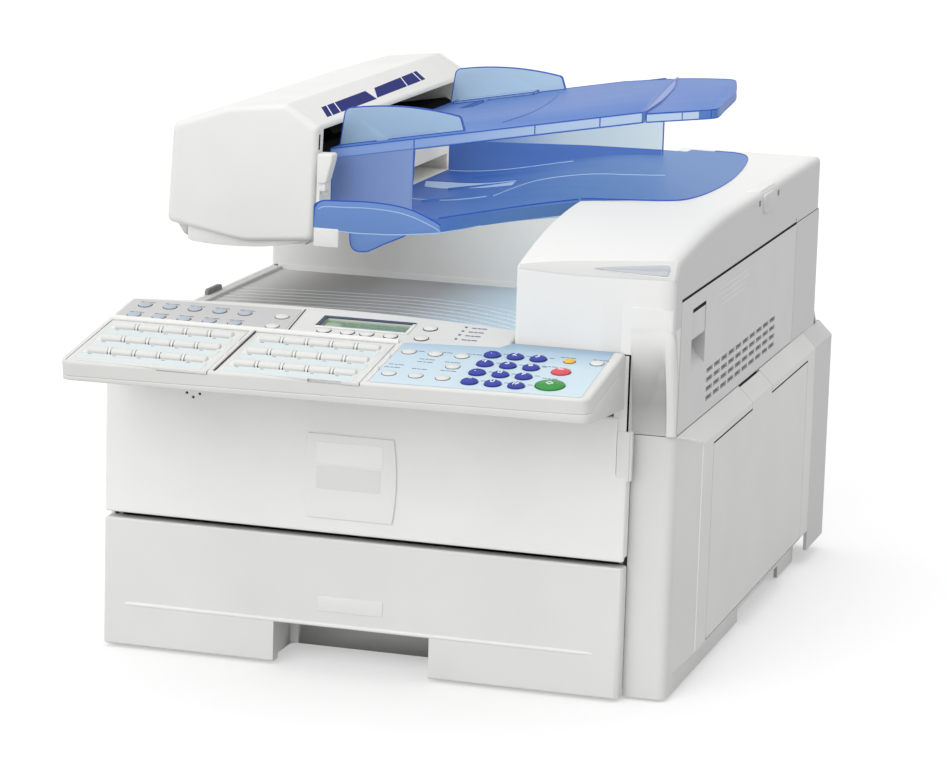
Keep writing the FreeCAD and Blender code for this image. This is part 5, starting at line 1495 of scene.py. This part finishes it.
@dataclass
class Trays:
    """The translucent document tray, its guides, its pull-out end and the exit tray."""

    left: float = 114.5
    left_z: float = 328.4
    front: float = 112.0
    thick: float = 5.9
    pane: float = 0.05
    bend: float = 310.0
    wall_back: float = 387.3
    exit_left: float = 112.6
    exit_low: float = 277.0
    exit_rise: float = 21.9
    exit_run: float = 156.4
    skin_lift: float = 1.5
    skin_run: tuple[float, float] = (113.4, 350.8)
    rim_front: float = 84.7
    fin_front: float = 98.4

    def top(self, across: Array) -> Array:
        """Return the document tray's height at a width."""
        return self.left_z + (np.asarray(across, float) - self.left) * math.tan(TRAY_SLOPE)

    def far(self, across: Array) -> Array:
        """Return the extension's height at a width: it bends to a gentler slope."""
        return self.top(self.bend) + (np.asarray(across, float) - self.bend) * math.tan(EXTENSION_SLOPE)

    def low(self, across: Array) -> Array:
        """Return the exit tray's height at a width, an easy S from the feeder to the top cover."""
        share = (np.asarray(across, float) - self.exit_left) / self.exit_run
        return self.exit_low + self.exit_rise * ease(share)

    def laid(self, plan: Sequence[Sequence[float]], height: Place, lift: float) -> Array:
        """Run a smooth curve through plan points and lay it on a tray at a lift."""
        flat = smooth(plan, 60)
        return np.column_stack([flat, height(flat[:, 0]) + lift])

    def on_top(self, points: Array) -> Array:
        """Lay drawing points (across, back, out) on the document tray's slope."""
        across, back, out = np.asarray(points, float).T
        return np.column_stack([across, back, self.top(across) + out])

    def on_far(self, points: Array) -> Array:
        """Lay drawing points (across, back, out) on the extension's slope."""
        across, back, out = np.asarray(points, float).T
        return np.column_stack([across, back, self.far(across) + out])

    def build(self) -> None:
        """Make the trays and guides, then their deep edges and pale ridges."""
        for node, finish, width in (("document_tray", TRAY_BLUE, 0.5), ("front_guide", GUIDE_BLUE, 0.8),
                                    ("rear_guide", GUIDE_BLUE, 0.8)):
            self.clear(softened(node, finish, width, Skin.WHOLE, 2))
        for node, radius in (("document_tray", 0.32), ("front_guide", 0.4), ("rear_guide", 0.4)):
            self.lay(node + "_edges", rods(sharp_edges(node), radius), EDGE_BLUE, NODE_BODY[node])
        self.extension()
        self.document_details()
        self.rear_wall()
        self.exit_front()
        self.exit_skin()
        self.exit_ridges()

    def clear(self, piece: bpy.types.Object) -> None:
        """Let light pass a translucent piece, so that the bay under it is lit."""
        piece.visible_shadow = False
        piece.visible_diffuse = False

    def lay(self, name: str, shell: Shell, finish: object, body: str = Body.HOUSING,
            place: Place = as_drawn) -> None:
        """Put a translucent piece on a body."""
        self.clear(put(name, shell, place, finish, body))

    def document_details(self) -> None:
        """Emboss the document tray's curve, tick its front rim and lay pale bands on the front faces."""
        mould = [(209.5, 338.8), (220.5, 268.6), (225.3, 204.9), (221.0, 157.9)]
        ticks = [np.array([(x, self.front - 0.2, self.top(x) - drop) for drop in (0.2, 3.2, 6.2)])
                 for x in (173.0, 256.0, 300.0)]
        lines = [self.laid(mould, self.top, 0.1)] + ticks
        self.lay("document_tray_lines", joined([tube(line, 0.4) for line in lines]), EDGE_BLUE)
        step = np.array([0.0, 0.01])
        rim = np.array([(115.2, self.front - 0.15), (328.0, self.front - 0.15)])
        upper, lower = self.laid(rim, self.top, -0.7), self.laid(rim + step, self.top, -6.2)
        self.lay("document_rim_band", ribbon(upper, lower, self.pane), BAND_BLUE)
        across = np.linspace(115.9, 172.7, 12)
        crown = np.column_stack([across, np.full(12, self.front - 0.3), self.top(across) - 6.9])
        foot = crown * [1, 1, 0] + [0, 0.02, 283.0]
        self.lay("front_wall_pane", ribbon(crown, foot, self.pane), WALL_BLUE)
        face = np.array([(331.4, 111.9), (366.0, 111.9)])
        upper, lower = self.laid(face, self.far, -0.8), self.laid(face + 2 * step, self.far, -5.2)
        self.lay("extension_band", ribbon(upper, lower, self.pane), BAND_BLUE, Body.EXTENSION)

    def extension(self) -> None:
        """Make the pull-out end with its bowed joint, beside the crescent that rounds the tray's own end.

        The end is a slab on the flatter slope; its tongues under the tray keep their CAD shape.
        """
        joint = smooth([(290.4, 358.5), (293.2, 350.0), (308.6, 279.2), (323.3, 184.2), (329.9, 112.2)], 40)
        right = smooth([(366.0, 112.2), (373.5, 113.2), (376.9, 117.5), (376.2, 130.0), (372.5, 158.6),
                        (365.4, 219.9), (359.3, 251.4), (349.0, 296.0), (345.2, 309.0), (339.0, 318.5),
                        (329.0, 327.5), (312.7, 339.0), (294.6, 349.6)], 110)
        outline = np.concatenate([right, joint[4:] + np.array([0.9, 0.0])])
        plate = slab(outline, -self.thick, 0.0, 0.7, 4)
        self.lay("extension_plate", plate, TRAY_BLUE, Body.EXTENSION, self.on_far)
        hidden = np.array([(200.0, 100.0), (330.0, 100.0), (329.9, 112.0), (290.2, 362.0), (200.0, 362.0)])
        self.clear(trimmed("document_extension", TRAY_BLUE, slab(hidden, 250.0, 420.0, 0.01, 2), as_drawn))
        rims = [tube(self.on_far(level(outline, lift)), 0.4, 6, True) for lift in (-0.1, -5.8)]
        posts = np.array([(331.0, 112.3), (355.0, 112.0), (374.0, 113.3)])
        ends = np.stack([self.on_far(level(posts, lift)) for lift in (-0.2, -5.8)], axis=1)
        self.lay("extension_edges", joined(rims + [rods(ends, 0.35)]), EDGE_BLUE, Body.EXTENSION)
        crescent = np.concatenate([joint, [(328.4, 112.2), (289.6, 360.0)]])
        tip = slab(crescent, -self.thick, -0.03, 0.2, 3)
        self.lay("document_tray_end", tip, TRAY_BLUE, place=self.on_top)
        self.lay("document_tray_end_edge", tube(self.on_top(level(joint, 0.0)), 0.45), EDGE_BLUE)

    def rear_wall(self) -> None:
        """Close the back of the bay with a frosted pane, deeper at the feeder, and the exit tray's rim."""
        across = np.linspace(113.9, 276.0, 30)
        depth = np.full(30, self.wall_back)
        foot = np.column_stack([across, depth, self.low(across) + 0.5])
        crown = np.column_stack([across, depth + 0.02, self.top(across) - 6.6])
        self.lay("rear_wall_pane", ribbon(crown, foot, self.pane), FROST)
        rise = np.interp(across, [113.9, 158.0, 220.0, 276.0], [300.5, 301.4, 303.6, 304.2])
        rim = np.column_stack([across, depth - 0.5, rise])
        pane = ribbon(rim + np.array([0.0, 0.02, 0.0]), foot - np.array([0.0, 0.5, 0.0]), self.pane)
        self.lay("exit_rear_rim", joined([pane, tube(rim, 0.4)]), DEEP_BLUE)

    def exit_front(self) -> None:
        """Make the exit tray's front: its trimmed underside, the arched rim and the fin under it."""
        lower = [(112.9, 278.8), (138.7, 277.2), (156.9, 277.5), (175.1, 278.5), (200.4, 281.5)]
        crown = [(201.1, 286.8), (194.7, 290.1), (181.9, 295.0), (169.1, 297.6), (150.9, 298.6),
                 (132.7, 298.0), (120.8, 297.5), (116.2, 295.9), (114.0, 293.0)]
        under = np.array([(100.0, 279.2), *lower, (213.0, 284.2), (225.0, 287.0), (245.0, 288.2),
                          (350.0, 288.0), (350.0, 330.0), (100.0, 330.0)])
        self.clear(trimmed("exit_tray", EXIT_BLUE, slab(under, -460.0, -60.0, 0.01, 2), on_front))
        arch = smooth(crown, 60)
        rim = np.concatenate([smooth(lower, 40), arch])
        fin = smooth([(133.9, 278.2), (134.2, 269.5), (135.4, 265.2), (138.6, 262.9), (145.4, 262.9),
                      (150.8, 265.1), (158.1, 268.9), (172.0, 275.4), (174.0, 278.2)], 50)
        for name, outline, near in (("exit_front_rim", rim, self.rim_front),
                                    ("exit_fin", fin, self.fin_front)):
            self.lay(name, slab(outline, -near - 2.0, -near, 0.35, 3), RIM_BLUE, place=on_front)
        behind = self.rim_front + 0.1
        edges = [tube(on_front(level(path, -near)), radius)
                 for path, near, radius in ((arch, behind, 0.5), (fin, self.fin_front + 0.1, 0.45))]
        self.lay("exit_front_edges", joined(edges), EDGE_BLUE)
        foot = [(x, behind, z) for x, z in lower] + [(213.0, 89.6, 284.2), (225.0, 97.6, 287.0),
                                                     (245.0, 121.6, 288.2), (264.4, 149.6, 287.8)]
        inner = [(x, self.rim_front - 0.1, z - 4.2) for x, z in crown[:8]]
        pale = [tube(smooth(foot, 60), 0.4), tube(smooth(inner, 50), 0.35)]
        self.lay("exit_pale_edges", joined(pale), RIDGE_BLUE)

    def exit_skin(self) -> None:
        """Cover the exit tray with one smooth sheet that runs into the top cover's recess.

        A ring is the section at a width, from the front curve to the back curve; the widths crowd towards
        the right end. A deep line edges the sheet where it lies in the recess.
        """
        start, end = self.skin_run
        across = start + (end - start) * np.sin(np.linspace(0, np.pi / 2, 120))
        front = smooth([(113.0, 85.6), (160.0, 85.6), (203.0, 86.2), (225.0, 93.0), (246.0, 109.0),
                        (263.0, 131.0), (277.0, 153.0), (296.0, 162.0), (316.0, 168.0), (331.0, 174.0),
                        (340.3, 181.5), (345.0, 194.0), (348.4, 213.0), (350.2, 238.0), (350.9, 264.0)], 200)
        back = smooth([(113.0, 386.6), (276.0, 386.6), (277.5, 425.0), (300.0, 426.4), (318.0, 426.8),
                       (326.0, 423.6), (332.3, 415.7), (336.8, 401.3), (339.4, 388.3), (343.0, 364.7),
                       (346.3, 337.0), (349.6, 298.5), (350.9, 265.0)], 200)
        height = self.low(across) + self.skin_lift
        near, rear = (np.interp(across, np.maximum.accumulate(x), y) for x, y in (front.T, back.T))
        near, rear = (np.column_stack([across, depth, height]) for depth in (near, rear))
        self.lay("exit_tray_sheet", ribbon(near, rear, 0.5), EXIT_BLUE)
        # The recess starts at these two rings
        near_from, rear_from = 58, 72
        line = np.concatenate([near[near_from:], rear[rear_from:-1][::-1]])
        self.lay("exit_tray_home", tube(line, 0.5), EDGE_BLUE)

    def exit_ridges(self) -> None:
        """Edge the exit tray's bowed front, and raise its pale ridges and a pale step behind a deep line."""
        lift = self.skin_lift
        front = [(199.6, 85.0), (225.0, 92.0), (246.0, 108.5), (263.0, 130.0), (276.6, 151.6)]
        self.lay("exit_tray_edges", tube(self.laid(front, self.low, lift), 0.5), EDGE_BLUE)
        plans = ([(134.0, 231.2), (150.9, 217.2), (169.2, 201.1), (187.0, 191.2), (202.0, 188.0)],
                 [(207.5, 186.0), (210.5, 217.2), (215.3, 246.3), (224.6, 260.6), (248.4, 270.9),
                  (279.6, 278.5), (303.1, 287.4)],
                 [(116.0, 383.0), (140.0, 378.0), (171.9, 371.0), (215.0, 366.0)])
        ridges = [tube(self.laid(plan, self.low, lift + 0.05), 0.4) for plan in plans]
        self.lay("exit_tray_ridges", joined(ridges), RIDGE_BLUE)
        line = self.laid([(116.0, 324.7), (133.0, 319.0), (155.3, 302.3), (177.3, 285.6), (198.1, 277.7)],
                         self.low, lift + 0.2)
        step = self.laid([(124.0, 296.0), (144.0, 281.0), (165.9, 266.8), (185.0, 254.0), (203.3, 246.0)],
                         self.low, lift + 0.1)
        self.lay("exit_tray_line", tube(line, 0.5), EDGE_BLUE)
        self.lay("exit_tray_step", ribbon(step, line, 0.1), RIDGE_BLUE)


@dataclass
class Panel:
    """The tilted operation panel: face, films, display, hinged plates and keys."""

    bar_depth: float = 6.6
    bar_pitch: float = 16.6
    bar_front: float = 6.6
    bar_row_pitch: float = 23.5
    bar_margin: float = 6.0
    bar_crown: float = 2.9
    flip_first: tuple[float, float] = (12.0, 111.0)
    hinge_v: float = 71.2
    dial_left: float = 271.6
    dial_front: float = 11.8
    dial_rise: float = 2.86
    dial_pitch: tuple[float, float] = (15.0, 16.7)
    user_left: float = 22.6
    user_pitch: float = 17.4
    user_rows: tuple[float, float] = (100.2, 80.2)
    small_key: float = 4.4
    left: float = 8.0
    right: float = 351.0
    inner_right: float = 275.8
    notch: float = 88.6
    back: float = 113.0
    back_bow: float = 12.0
    post: float = 109.0
    end_post: float = 209.2
    screen: Rect = (147.0, 88.4, 205.6, 105.4)

    def build(self) -> None:
        """Make the panel from its pan to its printed marks."""
        trimmed("panel_top", PANEL, self.face_block(), on_panel)
        softened("panel_base", PANEL, 0.8, Skin.TRIANGLES)
        softened("flip_plate_left", PANEL, 0.25, Skin.TRIANGLES, 2)
        softened("flip_plate_right", PANEL, 0.25, Skin.TRIANGLES, 2)
        dressed("lcd_module", DISPLAY)
        self.films()
        self.ridges()
        self.bezel()
        self.bars()
        self.round_keys()
        self.rings()
        self.legends()

    def face_outline(self, inset: float) -> Array:
        """Return the panel's outline on its own plane: slanted front, bowed back, notch for the top cover.

        The bow is the circle through the two back corners and a point behind their middle.

        Args:
            inset: how far the outline is drawn in.

        Returns:
            One (across, up the slope) per row, counter-clockwise.
        """
        left, right, inner = self.left + inset, self.right - inset, self.inner_right - inset
        notch, rear, bow = self.notch - inset, self.back - inset, self.back_bow
        share = np.linspace(-1, 1, 41)[1:-1]
        half = (inner - left) / 2
        radius = (half ** 2 + bow ** 2) / (2 * bow)
        across = (left + inner) / 2 - share * half
        back = rear + bow - radius + np.sqrt(radius ** 2 - (share * half) ** 2)
        arcs = 8
        front = rounded([(left, -13.0 + inset, 8.0), (right, inset, 6.0), (right, notch, 1.0),
                         (inner, notch, 1.0), (inner, rear, 0.02), (left, rear, 0.02)], arcs)
        return np.concatenate([front[:4 * arcs + 1], np.column_stack([across, back]), [[left, rear]]])

    def face_block(self) -> Shell:
        """Return a slab over the panel's face whose upper edge is a round of 2 mm."""
        return slab(self.face_outline(0.15), -60.0, -0.12, 2.0, 7)

    def flips(self) -> tuple[tuple[str, float, Body], ...]:
        """Return the side, the first width and the body of the two hinged plates."""
        return (("left", self.flip_first[0], Body.FLIP_LEFT), ("right", self.flip_first[1], Body.FLIP_RIGHT))

    def bar_rows(self) -> Array:
        """Return the front of each row of one-touch bars."""
        return self.bar_front + self.bar_row_pitch * np.arange(3)

    def dial_places(self) -> list[tuple[float, float]]:
        """Return the middle of each dial key, from the front row to the back row."""
        return [(self.dial_left + self.dial_pitch[0] * i, self.dial_front + self.dial_pitch[1] * j)
                for j in range(4) for i in range(3)]

    def user_places(self) -> list[tuple[float, float]]:
        """Return the middle of each grey key, from the back row to the front row."""
        return [(self.user_left + self.user_pitch * i, v) for v in self.user_rows for i in range(5)]

    def films(self) -> None:
        """Lay the label strips, the pale sheet and the grey area on the face, and fill the finger recess."""
        for side, first, body in self.flips():
            start = first + 5.5
            rects = [(start, back - 10.5, start + 84.0, back) for back in self.bar_rows() - 1.9]
            put("label_strips_" + side, tiles(rects, -0.25, -0.05), on_panel, STRIP, body)
        # The sheet's finish paints the top cover's shadow on its back end
        sheet = rounded([(210.8, -2.0, 1.0), (345.6, 2.6, 2.0), (344.2, 87.0, 1.0), (277.6, 87.0, 1.0),
                         (271.6, 77.5, 1.0), (210.8, 72.0, 1.0)])
        put("dial_sheet", slab(sheet, 0.02, 0.14, 0.05, 2), on_panel, SHEET_HUMP_SHADOW)
        grey = rounded([(11.0, 74.6, 0.5), (128.6, 74.6, 0.5), (126.4, 116.4, 2.0), (60.0, 113.6, 60.0),
                        (11.0, 111.0, 3.0)])
        recess = tiles([(171.8, -4.0, 194.2, 0.6)], -2.4, -0.9)
        put("finger_recess", recess, on_panel, PANEL_BAR)
        put("grey_area", slab(grey, 0.02, 0.12, 0.05, 2), on_panel, PANEL_GREY)

    def ridges(self) -> None:
        """Raise the half-round hinge bar and the rib between the plates, with the dark gaps beside them."""
        across = smooth([(9.6, self.hinge_v, 0.0), (206.8, self.hinge_v, 0.0)], 30)
        post = smooth([(self.post, -7.6, -0.2), (self.post, self.hinge_v, -0.2)], 20)
        end = smooth([(self.end_post, -3.0, -0.6), (self.end_post, self.hinge_v, -0.6)], 20)
        ridges = joined([tube(across, 2.2, 14), tube(post, 1.6, 12), tube(end, 1.3, 12)])
        put("panel_ridges", ridges, on_panel, PANEL_BAR)
        side = smooth([(110.95, -7.4, 0.1), (110.95, self.hinge_v - 2.4, 0.1)], 12)
        divider = smooth([(127.9, 117.1, 0.05), (130.5, 74.2, 0.05)], 12)
        nose = smooth([(14.0, -9.4, -1.6), (108.0, -5.8, -1.6), (209.0, -2.0, -1.6)], 24)
        lines = joined([tube(side, 0.4), tube(divider, 0.4), tube(nose, 0.35)])
        # Painted shade: black lines in the gaps beside the rib, at the divider and under the nose
        put("panel_dark_lines", lines, on_panel, GAP_SHADE)
        knuckles = [tube(np.array([(u, v - 2.2, 0.5), (u, v, 0.7), (u, v + 2.2, 0.5)]), 1.2, 10)
                    for u in (self.post, self.end_post) for v in (20.0, 43.0)]
        put("panel_knuckles", joined(knuckles), on_panel, PANEL_BAR)

    def bezel(self) -> None:
        """Frame the display with painted light and shade: slate strips at its back and left paint the
        recess's shadow, and pale ones at its front and right paint its lit sides.
        """
        left, front, right, back = self.screen
        dark = [pad((left - 2.6, back - 0.2, right + 1.6, back + 2.8), 0.4, 0.0, 0.8, 0.3),
                pad((left - 2.6, front, left + 0.4, back + 1.0), 0.4, 0.0, 0.8, 0.3)]
        put("display_painted_shadow", joined(dark), on_panel, RECESS_SHADOW)
        pale = [pad((left - 2.4, front - 2.2, right + 2.0, front + 0.2), 0.4, 0.0, 0.7, 0.3),
                pad((right - 0.2, front - 1.0, right + 2.0, back + 1.0), 0.4, 0.0, 0.7, 0.3)]
        put("display_painted_light", joined(pale), on_panel, PANEL_BAR)

    def pillow(self, first: float, last: float, front: float, crown: float) -> Shell:
        """Return a bar with a half-elliptic crown, drawn in a little at both ends.

        The profile is (half depth * cos t, crown * (sin t) ** 0.8) for t from 0 to 180 degrees, over a foot.

        Args:
            first: left end.
            last: right end.
            front: front edge, up the slope.
            crown: height of the crown.

        Returns:
            The closed bar.
        """
        turn = np.linspace(0, np.pi, 13)
        half = self.bar_depth / 2
        along = np.concatenate([[-half, half], half * np.cos(turn)])
        up = np.concatenate([[-4.0, -4.0], crown * np.sin(turn) ** 0.8 - 0.4])
        run = np.array([0.0, 0.25, 0.7, 1.4])
        scale = np.array([0.8, 0.9, 0.97, 1.0])
        places = np.concatenate([first + run, last - run[::-1]])
        size = np.concatenate([scale, scale[::-1]])[:, None]
        rings = np.stack([np.broadcast_to(places[:, None], (8, 15)), front + half + along * size,
                          np.where(up > -1, up * size, up)], axis=2)
        return loft(rings[:, ::-1])

    def bars(self) -> None:
        """Make the pillow-shaped one-touch bars, the slim ribs between them and the dark beds under them,
        painted shade in the slits.
        """
        for side, first, _ in self.flips():
            edges = first + self.bar_margin + self.bar_pitch * np.arange(6)
            start, end = edges[0], edges[-1]
            keys, ribs, beds, ends = [], [], [], []
            for v in self.bar_rows():
                back = v + self.bar_depth
                keys += [self.pillow(a + 1.15, b - 1.15, v, self.bar_crown) for a, b in zip(edges, edges[1:])]
                ribs += [self.pillow(edge - 0.7, edge + 0.7, v + 0.1, self.bar_crown - 0.25)
                         for edge in edges[1:-1]]
                beds.append((start + 3.0, v + 0.5, end - 3.0, back - 0.5))
                ends += [(start - 1.3, v - 1.3, start + 2.4, back + 1.3),
                         (end - 2.4, v - 1.3, end + 1.3, back + 1.3)]
            put("one_touch_bars_" + side, joined(keys), on_panel, KEY_WHITE,
                nodes=["one_touch_keys_" + side])
            put("one_touch_ribs_" + side, joined(ribs), on_panel, PANEL_BAR)
            put("one_touch_ends_" + side, tiles(ends, -1.6, -0.15), on_panel, PANEL_BAR)
            put("one_touch_beds_" + side, tiles(beds, -3.0, 0.12), on_panel, GAP_SHADE)

    def round_keys(self) -> None:
        """Dress the round keys and set plain numbers and signs on the dial keys."""
        for node, finish in (("function_keys", KEY_WHITE), ("user_keys", KEY_GREY), ("start_key", KEY_GREEN),
                             ("stop_key", KEY_RED), ("energy_key", KEY_YELLOW), ("copy_key", KEY_WHITE)):
            dressed(node, finish)
        names = ["1", "2", "3", "4", "5", "6", "7", "8", "9", "star", "0", "hash"]
        signs = {"star": "*", "hash": "#"}
        places = self.dial_places()
        for i, name in enumerate(names):
            node = "dial_key_" + name
            dressed(node, KEY_BLUE)
            u, v = places[3 * (3 - i // 3) + i % 3]
            spot = (u, v - 0.3, self.dial_rise)
            lettered("dial_mark_" + name, signs.get(name, name), spot, on_panel, INK_WHITE, node)
        u, v, half = 321.5, 17.0, 2.2
        diamond = level(np.array([(u - half, v), (u, v + half), (u + half, v), (u, v - half)]), 2.36)
        dash = tiles([(319.8, 42.0, 323.4, 43.2)], 2.2, 2.44)
        for key, mark in (("start", tube(diamond, 0.4, 6, True)), ("stop", dash)):
            put(key + "_mark", mark, on_panel, INK_WHITE, NODE_BODY[key + "_key"])

    def rings(self) -> None:
        """Draw the thin shaded gap around each round key."""
        keys = [(u, v, 5.3) for u, v in self.dial_places()]
        keys += [(u, v, self.small_key) for u, v in self.user_places()]
        keys += [(321.5, 17.9, 9.2), (321.6, 42.8, 6.0), (321.6, 62.8, 3.6), (339.2, 63.5, 4.2)]
        small = [(253.5, 36.0)]
        small += [(218.5 + 17.5 * i, v) for v in (55.7, 14.6) for i in range(3)]
        small += [(u, 81.2) for u in (153.0, 169.0, 182.0, 198.0)]
        small += [(218.4, 101.2), (218.4, 82.0), (118.0, 99.7), (118.0, 80.6)]
        keys += [(u, v, self.small_key) for u, v in small]
        angle = np.linspace(0, 2 * np.pi, 36, endpoint=False)
        circle = level(np.column_stack([np.cos(angle), np.sin(angle)]), 0.0)
        loops = [tube(np.array([u, v, 0.1]) + (radius + 0.25) * circle, 0.24, 6, True)
                 for u, v, radius in keys]
        put("key_gap_rings", joined(loops), on_panel, GAP_SHADE)

    def legends(self) -> None:
        """Print short plain dashes where the keys and lamps have their legends, and set four small lamps."""
        lamps = [(240.0, v) for v in (109.5, 102.0, 94.6, 86.6)]
        dots = [pad((u - 1.0, v - 1.0, u + 1.0, v + 1.0), 0.95, 0.0, 0.5, 0.4) for u, v in lamps]
        put("panel_lamps", joined(dots), on_panel, INK_GREY)
        spots = [(u + 4.0, v - 0.4) for u, v in lamps]
        spots += [(u - 5.1, v + 5.6) for u, v in self.user_places()]
        spots += [(218.0, 58.5), (236.0, 60.0), (255.0, 61.0), (246.0, 43.5), (229.0, 40.0), (229.0, 45.0),
                  (212.0, 26.0), (213.0, 31.5), (229.5, 27.0), (248.0, 28.0), (314.0, 69.5), (335.0, 70.0),
                  (307.0, 51.0), (313.0, 30.0)]
        dashes = ((0.0, 3.1), (3.8, 2.0), (6.4, 3.6))
        rects = [(u + run, v - 0.55, u + run + size, v + 0.55) for u, v in spots for run, size in dashes]
        rects += [(u + 6.2, v + 3.7, u + 9.2, v + 4.7) for u, v in self.dial_places()]
        put("panel_legends", tiles(rects, 0.0, 0.2), on_panel, INK_GREY)
        for side, first, body in self.flips():
            lefts = first + self.bar_margin + self.bar_pitch * np.arange(5) + 4.0
            rects = [(u, v - 0.4, u + 2.4, v + 0.4) for u in lefts for v in self.bar_rows() - 3.6]
            put("strip_dashes_" + side, tiles(rects, -0.1, 0.02), on_panel, INK_GREY, body)


@dataclass
class Interior:
    """What is inside: chassis, rollers, engine and boards."""

    finishes: dict[str, object] = field(default_factory=lambda: {
        "chassis_plates": ZINC, "chassis_deck": ZINC, "lift_plate": ZINC, "rubber_feet": RUBBER,
        "toner_cartridge": BLACK, "laser_unit": BLACK, "fuser_roller": STEEL, "pressure_roller": RUBBER,
        "exit_roller": RUBBER, "pickup_roller": RUBBER, "circuit_boards": BOARD})

    def build(self) -> None:
        """Dress the inner CAD nodes."""
        for node, finish in self.finishes.items():
            dressed(node, finish)


@dataclass
class Studio:
    """A pale floor, soft light and a camera at the photograph's angle."""

    azimuth: float = math.radians(16.389)
    elevation: float = math.radians(11.514)
    roll: float = math.radians(1.737)
    focal_px: float = 3711.83
    eye_mm: tuple[float, float, float] = (906.705, -2225.615, 672.947)
    sensor: float = 36.0
    ambient: float = 0.65
    floor_colour: str = "#CACACA"
    floor_glow: float = 0.45
    floor_half: float = 30.0

    def camera(self) -> None:
        """Place the camera: columns of its matrix are right, up and back, turned by the roll."""
        back = Vector((math.sin(self.azimuth) * math.cos(self.elevation),
                       -math.cos(self.azimuth) * math.cos(self.elevation), math.sin(self.elevation)))
        right = Vector((math.cos(self.azimuth), math.sin(self.azimuth), 0.0))
        up = back.cross(right)
        turned = math.cos(self.roll) * right + math.sin(self.roll) * up
        raised = math.cos(self.roll) * up - math.sin(self.roll) * right
        data = bpy.data.cameras.new("studio_camera")
        data.sensor_fit = "HORIZONTAL"
        data.sensor_width = self.sensor
        data.lens = self.focal_px * self.sensor / IMAGE_WIDTH
        data.clip_end = 100.0
        eye = shown("studio_camera", data)
        matrix = Matrix((turned, raised, back)).transposed().to_4x4()
        matrix.translation = Vector(row(np.array(self.eye_mm)))
        eye.matrix_world = matrix
        bpy.context.scene.camera = eye

    def seen(self, tree: Tree) -> Socket:
        """Return 1 for rays that show the surroundings: direct, in reflections and through clear plastic.

        Args:
            tree: the node tree.

        Returns:
            The share, 0 or 1.
        """
        path = add_node(tree, "ShaderNodeLightPath")
        share = path.outputs["Is Camera Ray"]
        for ray in ("Is Transmission Ray", "Is Glossy Ray"):
            share = calc(tree, "MAXIMUM", share, path.outputs[ray])
        return share

    def floor(self) -> None:
        """Lay the white floor: its colour takes the shadow, and a little glow lifts it to white."""
        half = self.floor_half
        mesh = bpy.data.meshes.new("studio_floor")
        corners = [(-half, -half, 0), (half, -half, 0), (half, half, 0), (-half, half, 0)]
        mesh.from_pydata(corners, [], [(0, 1, 2, 3)])
        piece = shown("studio_floor", mesh)
        material, tree, shader = blank_material("floor_white_paper")
        settle(shader, {"Base Color": hex_linear(self.floor_colour), "Roughness": 0.9,
                        "Specular IOR Level": 0.1, "Emission Color": (1.0, 1.0, 1.0, 1.0)})
        glow = calc(tree, "MULTIPLY", self.seen(tree), self.floor_glow)
        tree.links.new(glow, shader.inputs["Emission Strength"])
        mesh.materials.append(material)

    def world(self) -> None:
        """Light the room evenly, and show it white to the camera and in reflections."""
        world = bpy.data.worlds.new("studio_world")
        world.use_nodes = True
        tree = world.node_tree
        shader = tree.nodes["Background"]
        settle(shader, {"Color": (1.0, 1.0, 1.0, 1.0)})
        strength = ranged(tree, self.seen(tree), self.ambient, 1.0)
        tree.links.new(strength, shader.inputs["Strength"])
        bpy.context.scene.world = world

    def lamp(self, name: str, towards: tuple[float, float, float], strength: float, spread: float) -> None:
        """Hang a wide soft lamp far away.

        Args:
            name: the lamp's name.
            towards: direction from the machine to the lamp.
            strength: its strength.
            spread: how wide it looks, in degrees.
        """
        data = bpy.data.lights.new(name, "SUN")
        data.energy = strength
        data.angle = math.radians(spread)
        lamp = shown(name, data)
        lamp.rotation_euler = Vector(towards).to_track_quat("Z", "Y").to_euler()

    def build(self) -> None:
        """Set the camera, the floor, the room and the two lamps."""
        self.camera()
        self.floor()
        self.world()
        self.lamp("key_lamp", (-0.25, -0.85, 0.46), 1.15, 50)
        self.lamp("top_lamp", (-0.1, 0.1, 1.0), 0.75, 60)
        bpy.context.scene.view_settings.view_transform = "Standard"


def main() -> None:
    """Build the machine, then the studio around it."""
    logging.basicConfig(level=logging.INFO)
    for assembly in (Housing(), Feeder(), Trays(), Panel(), Interior(), Studio()):
        assembly.build()


if __name__ == "__main__":
    main()
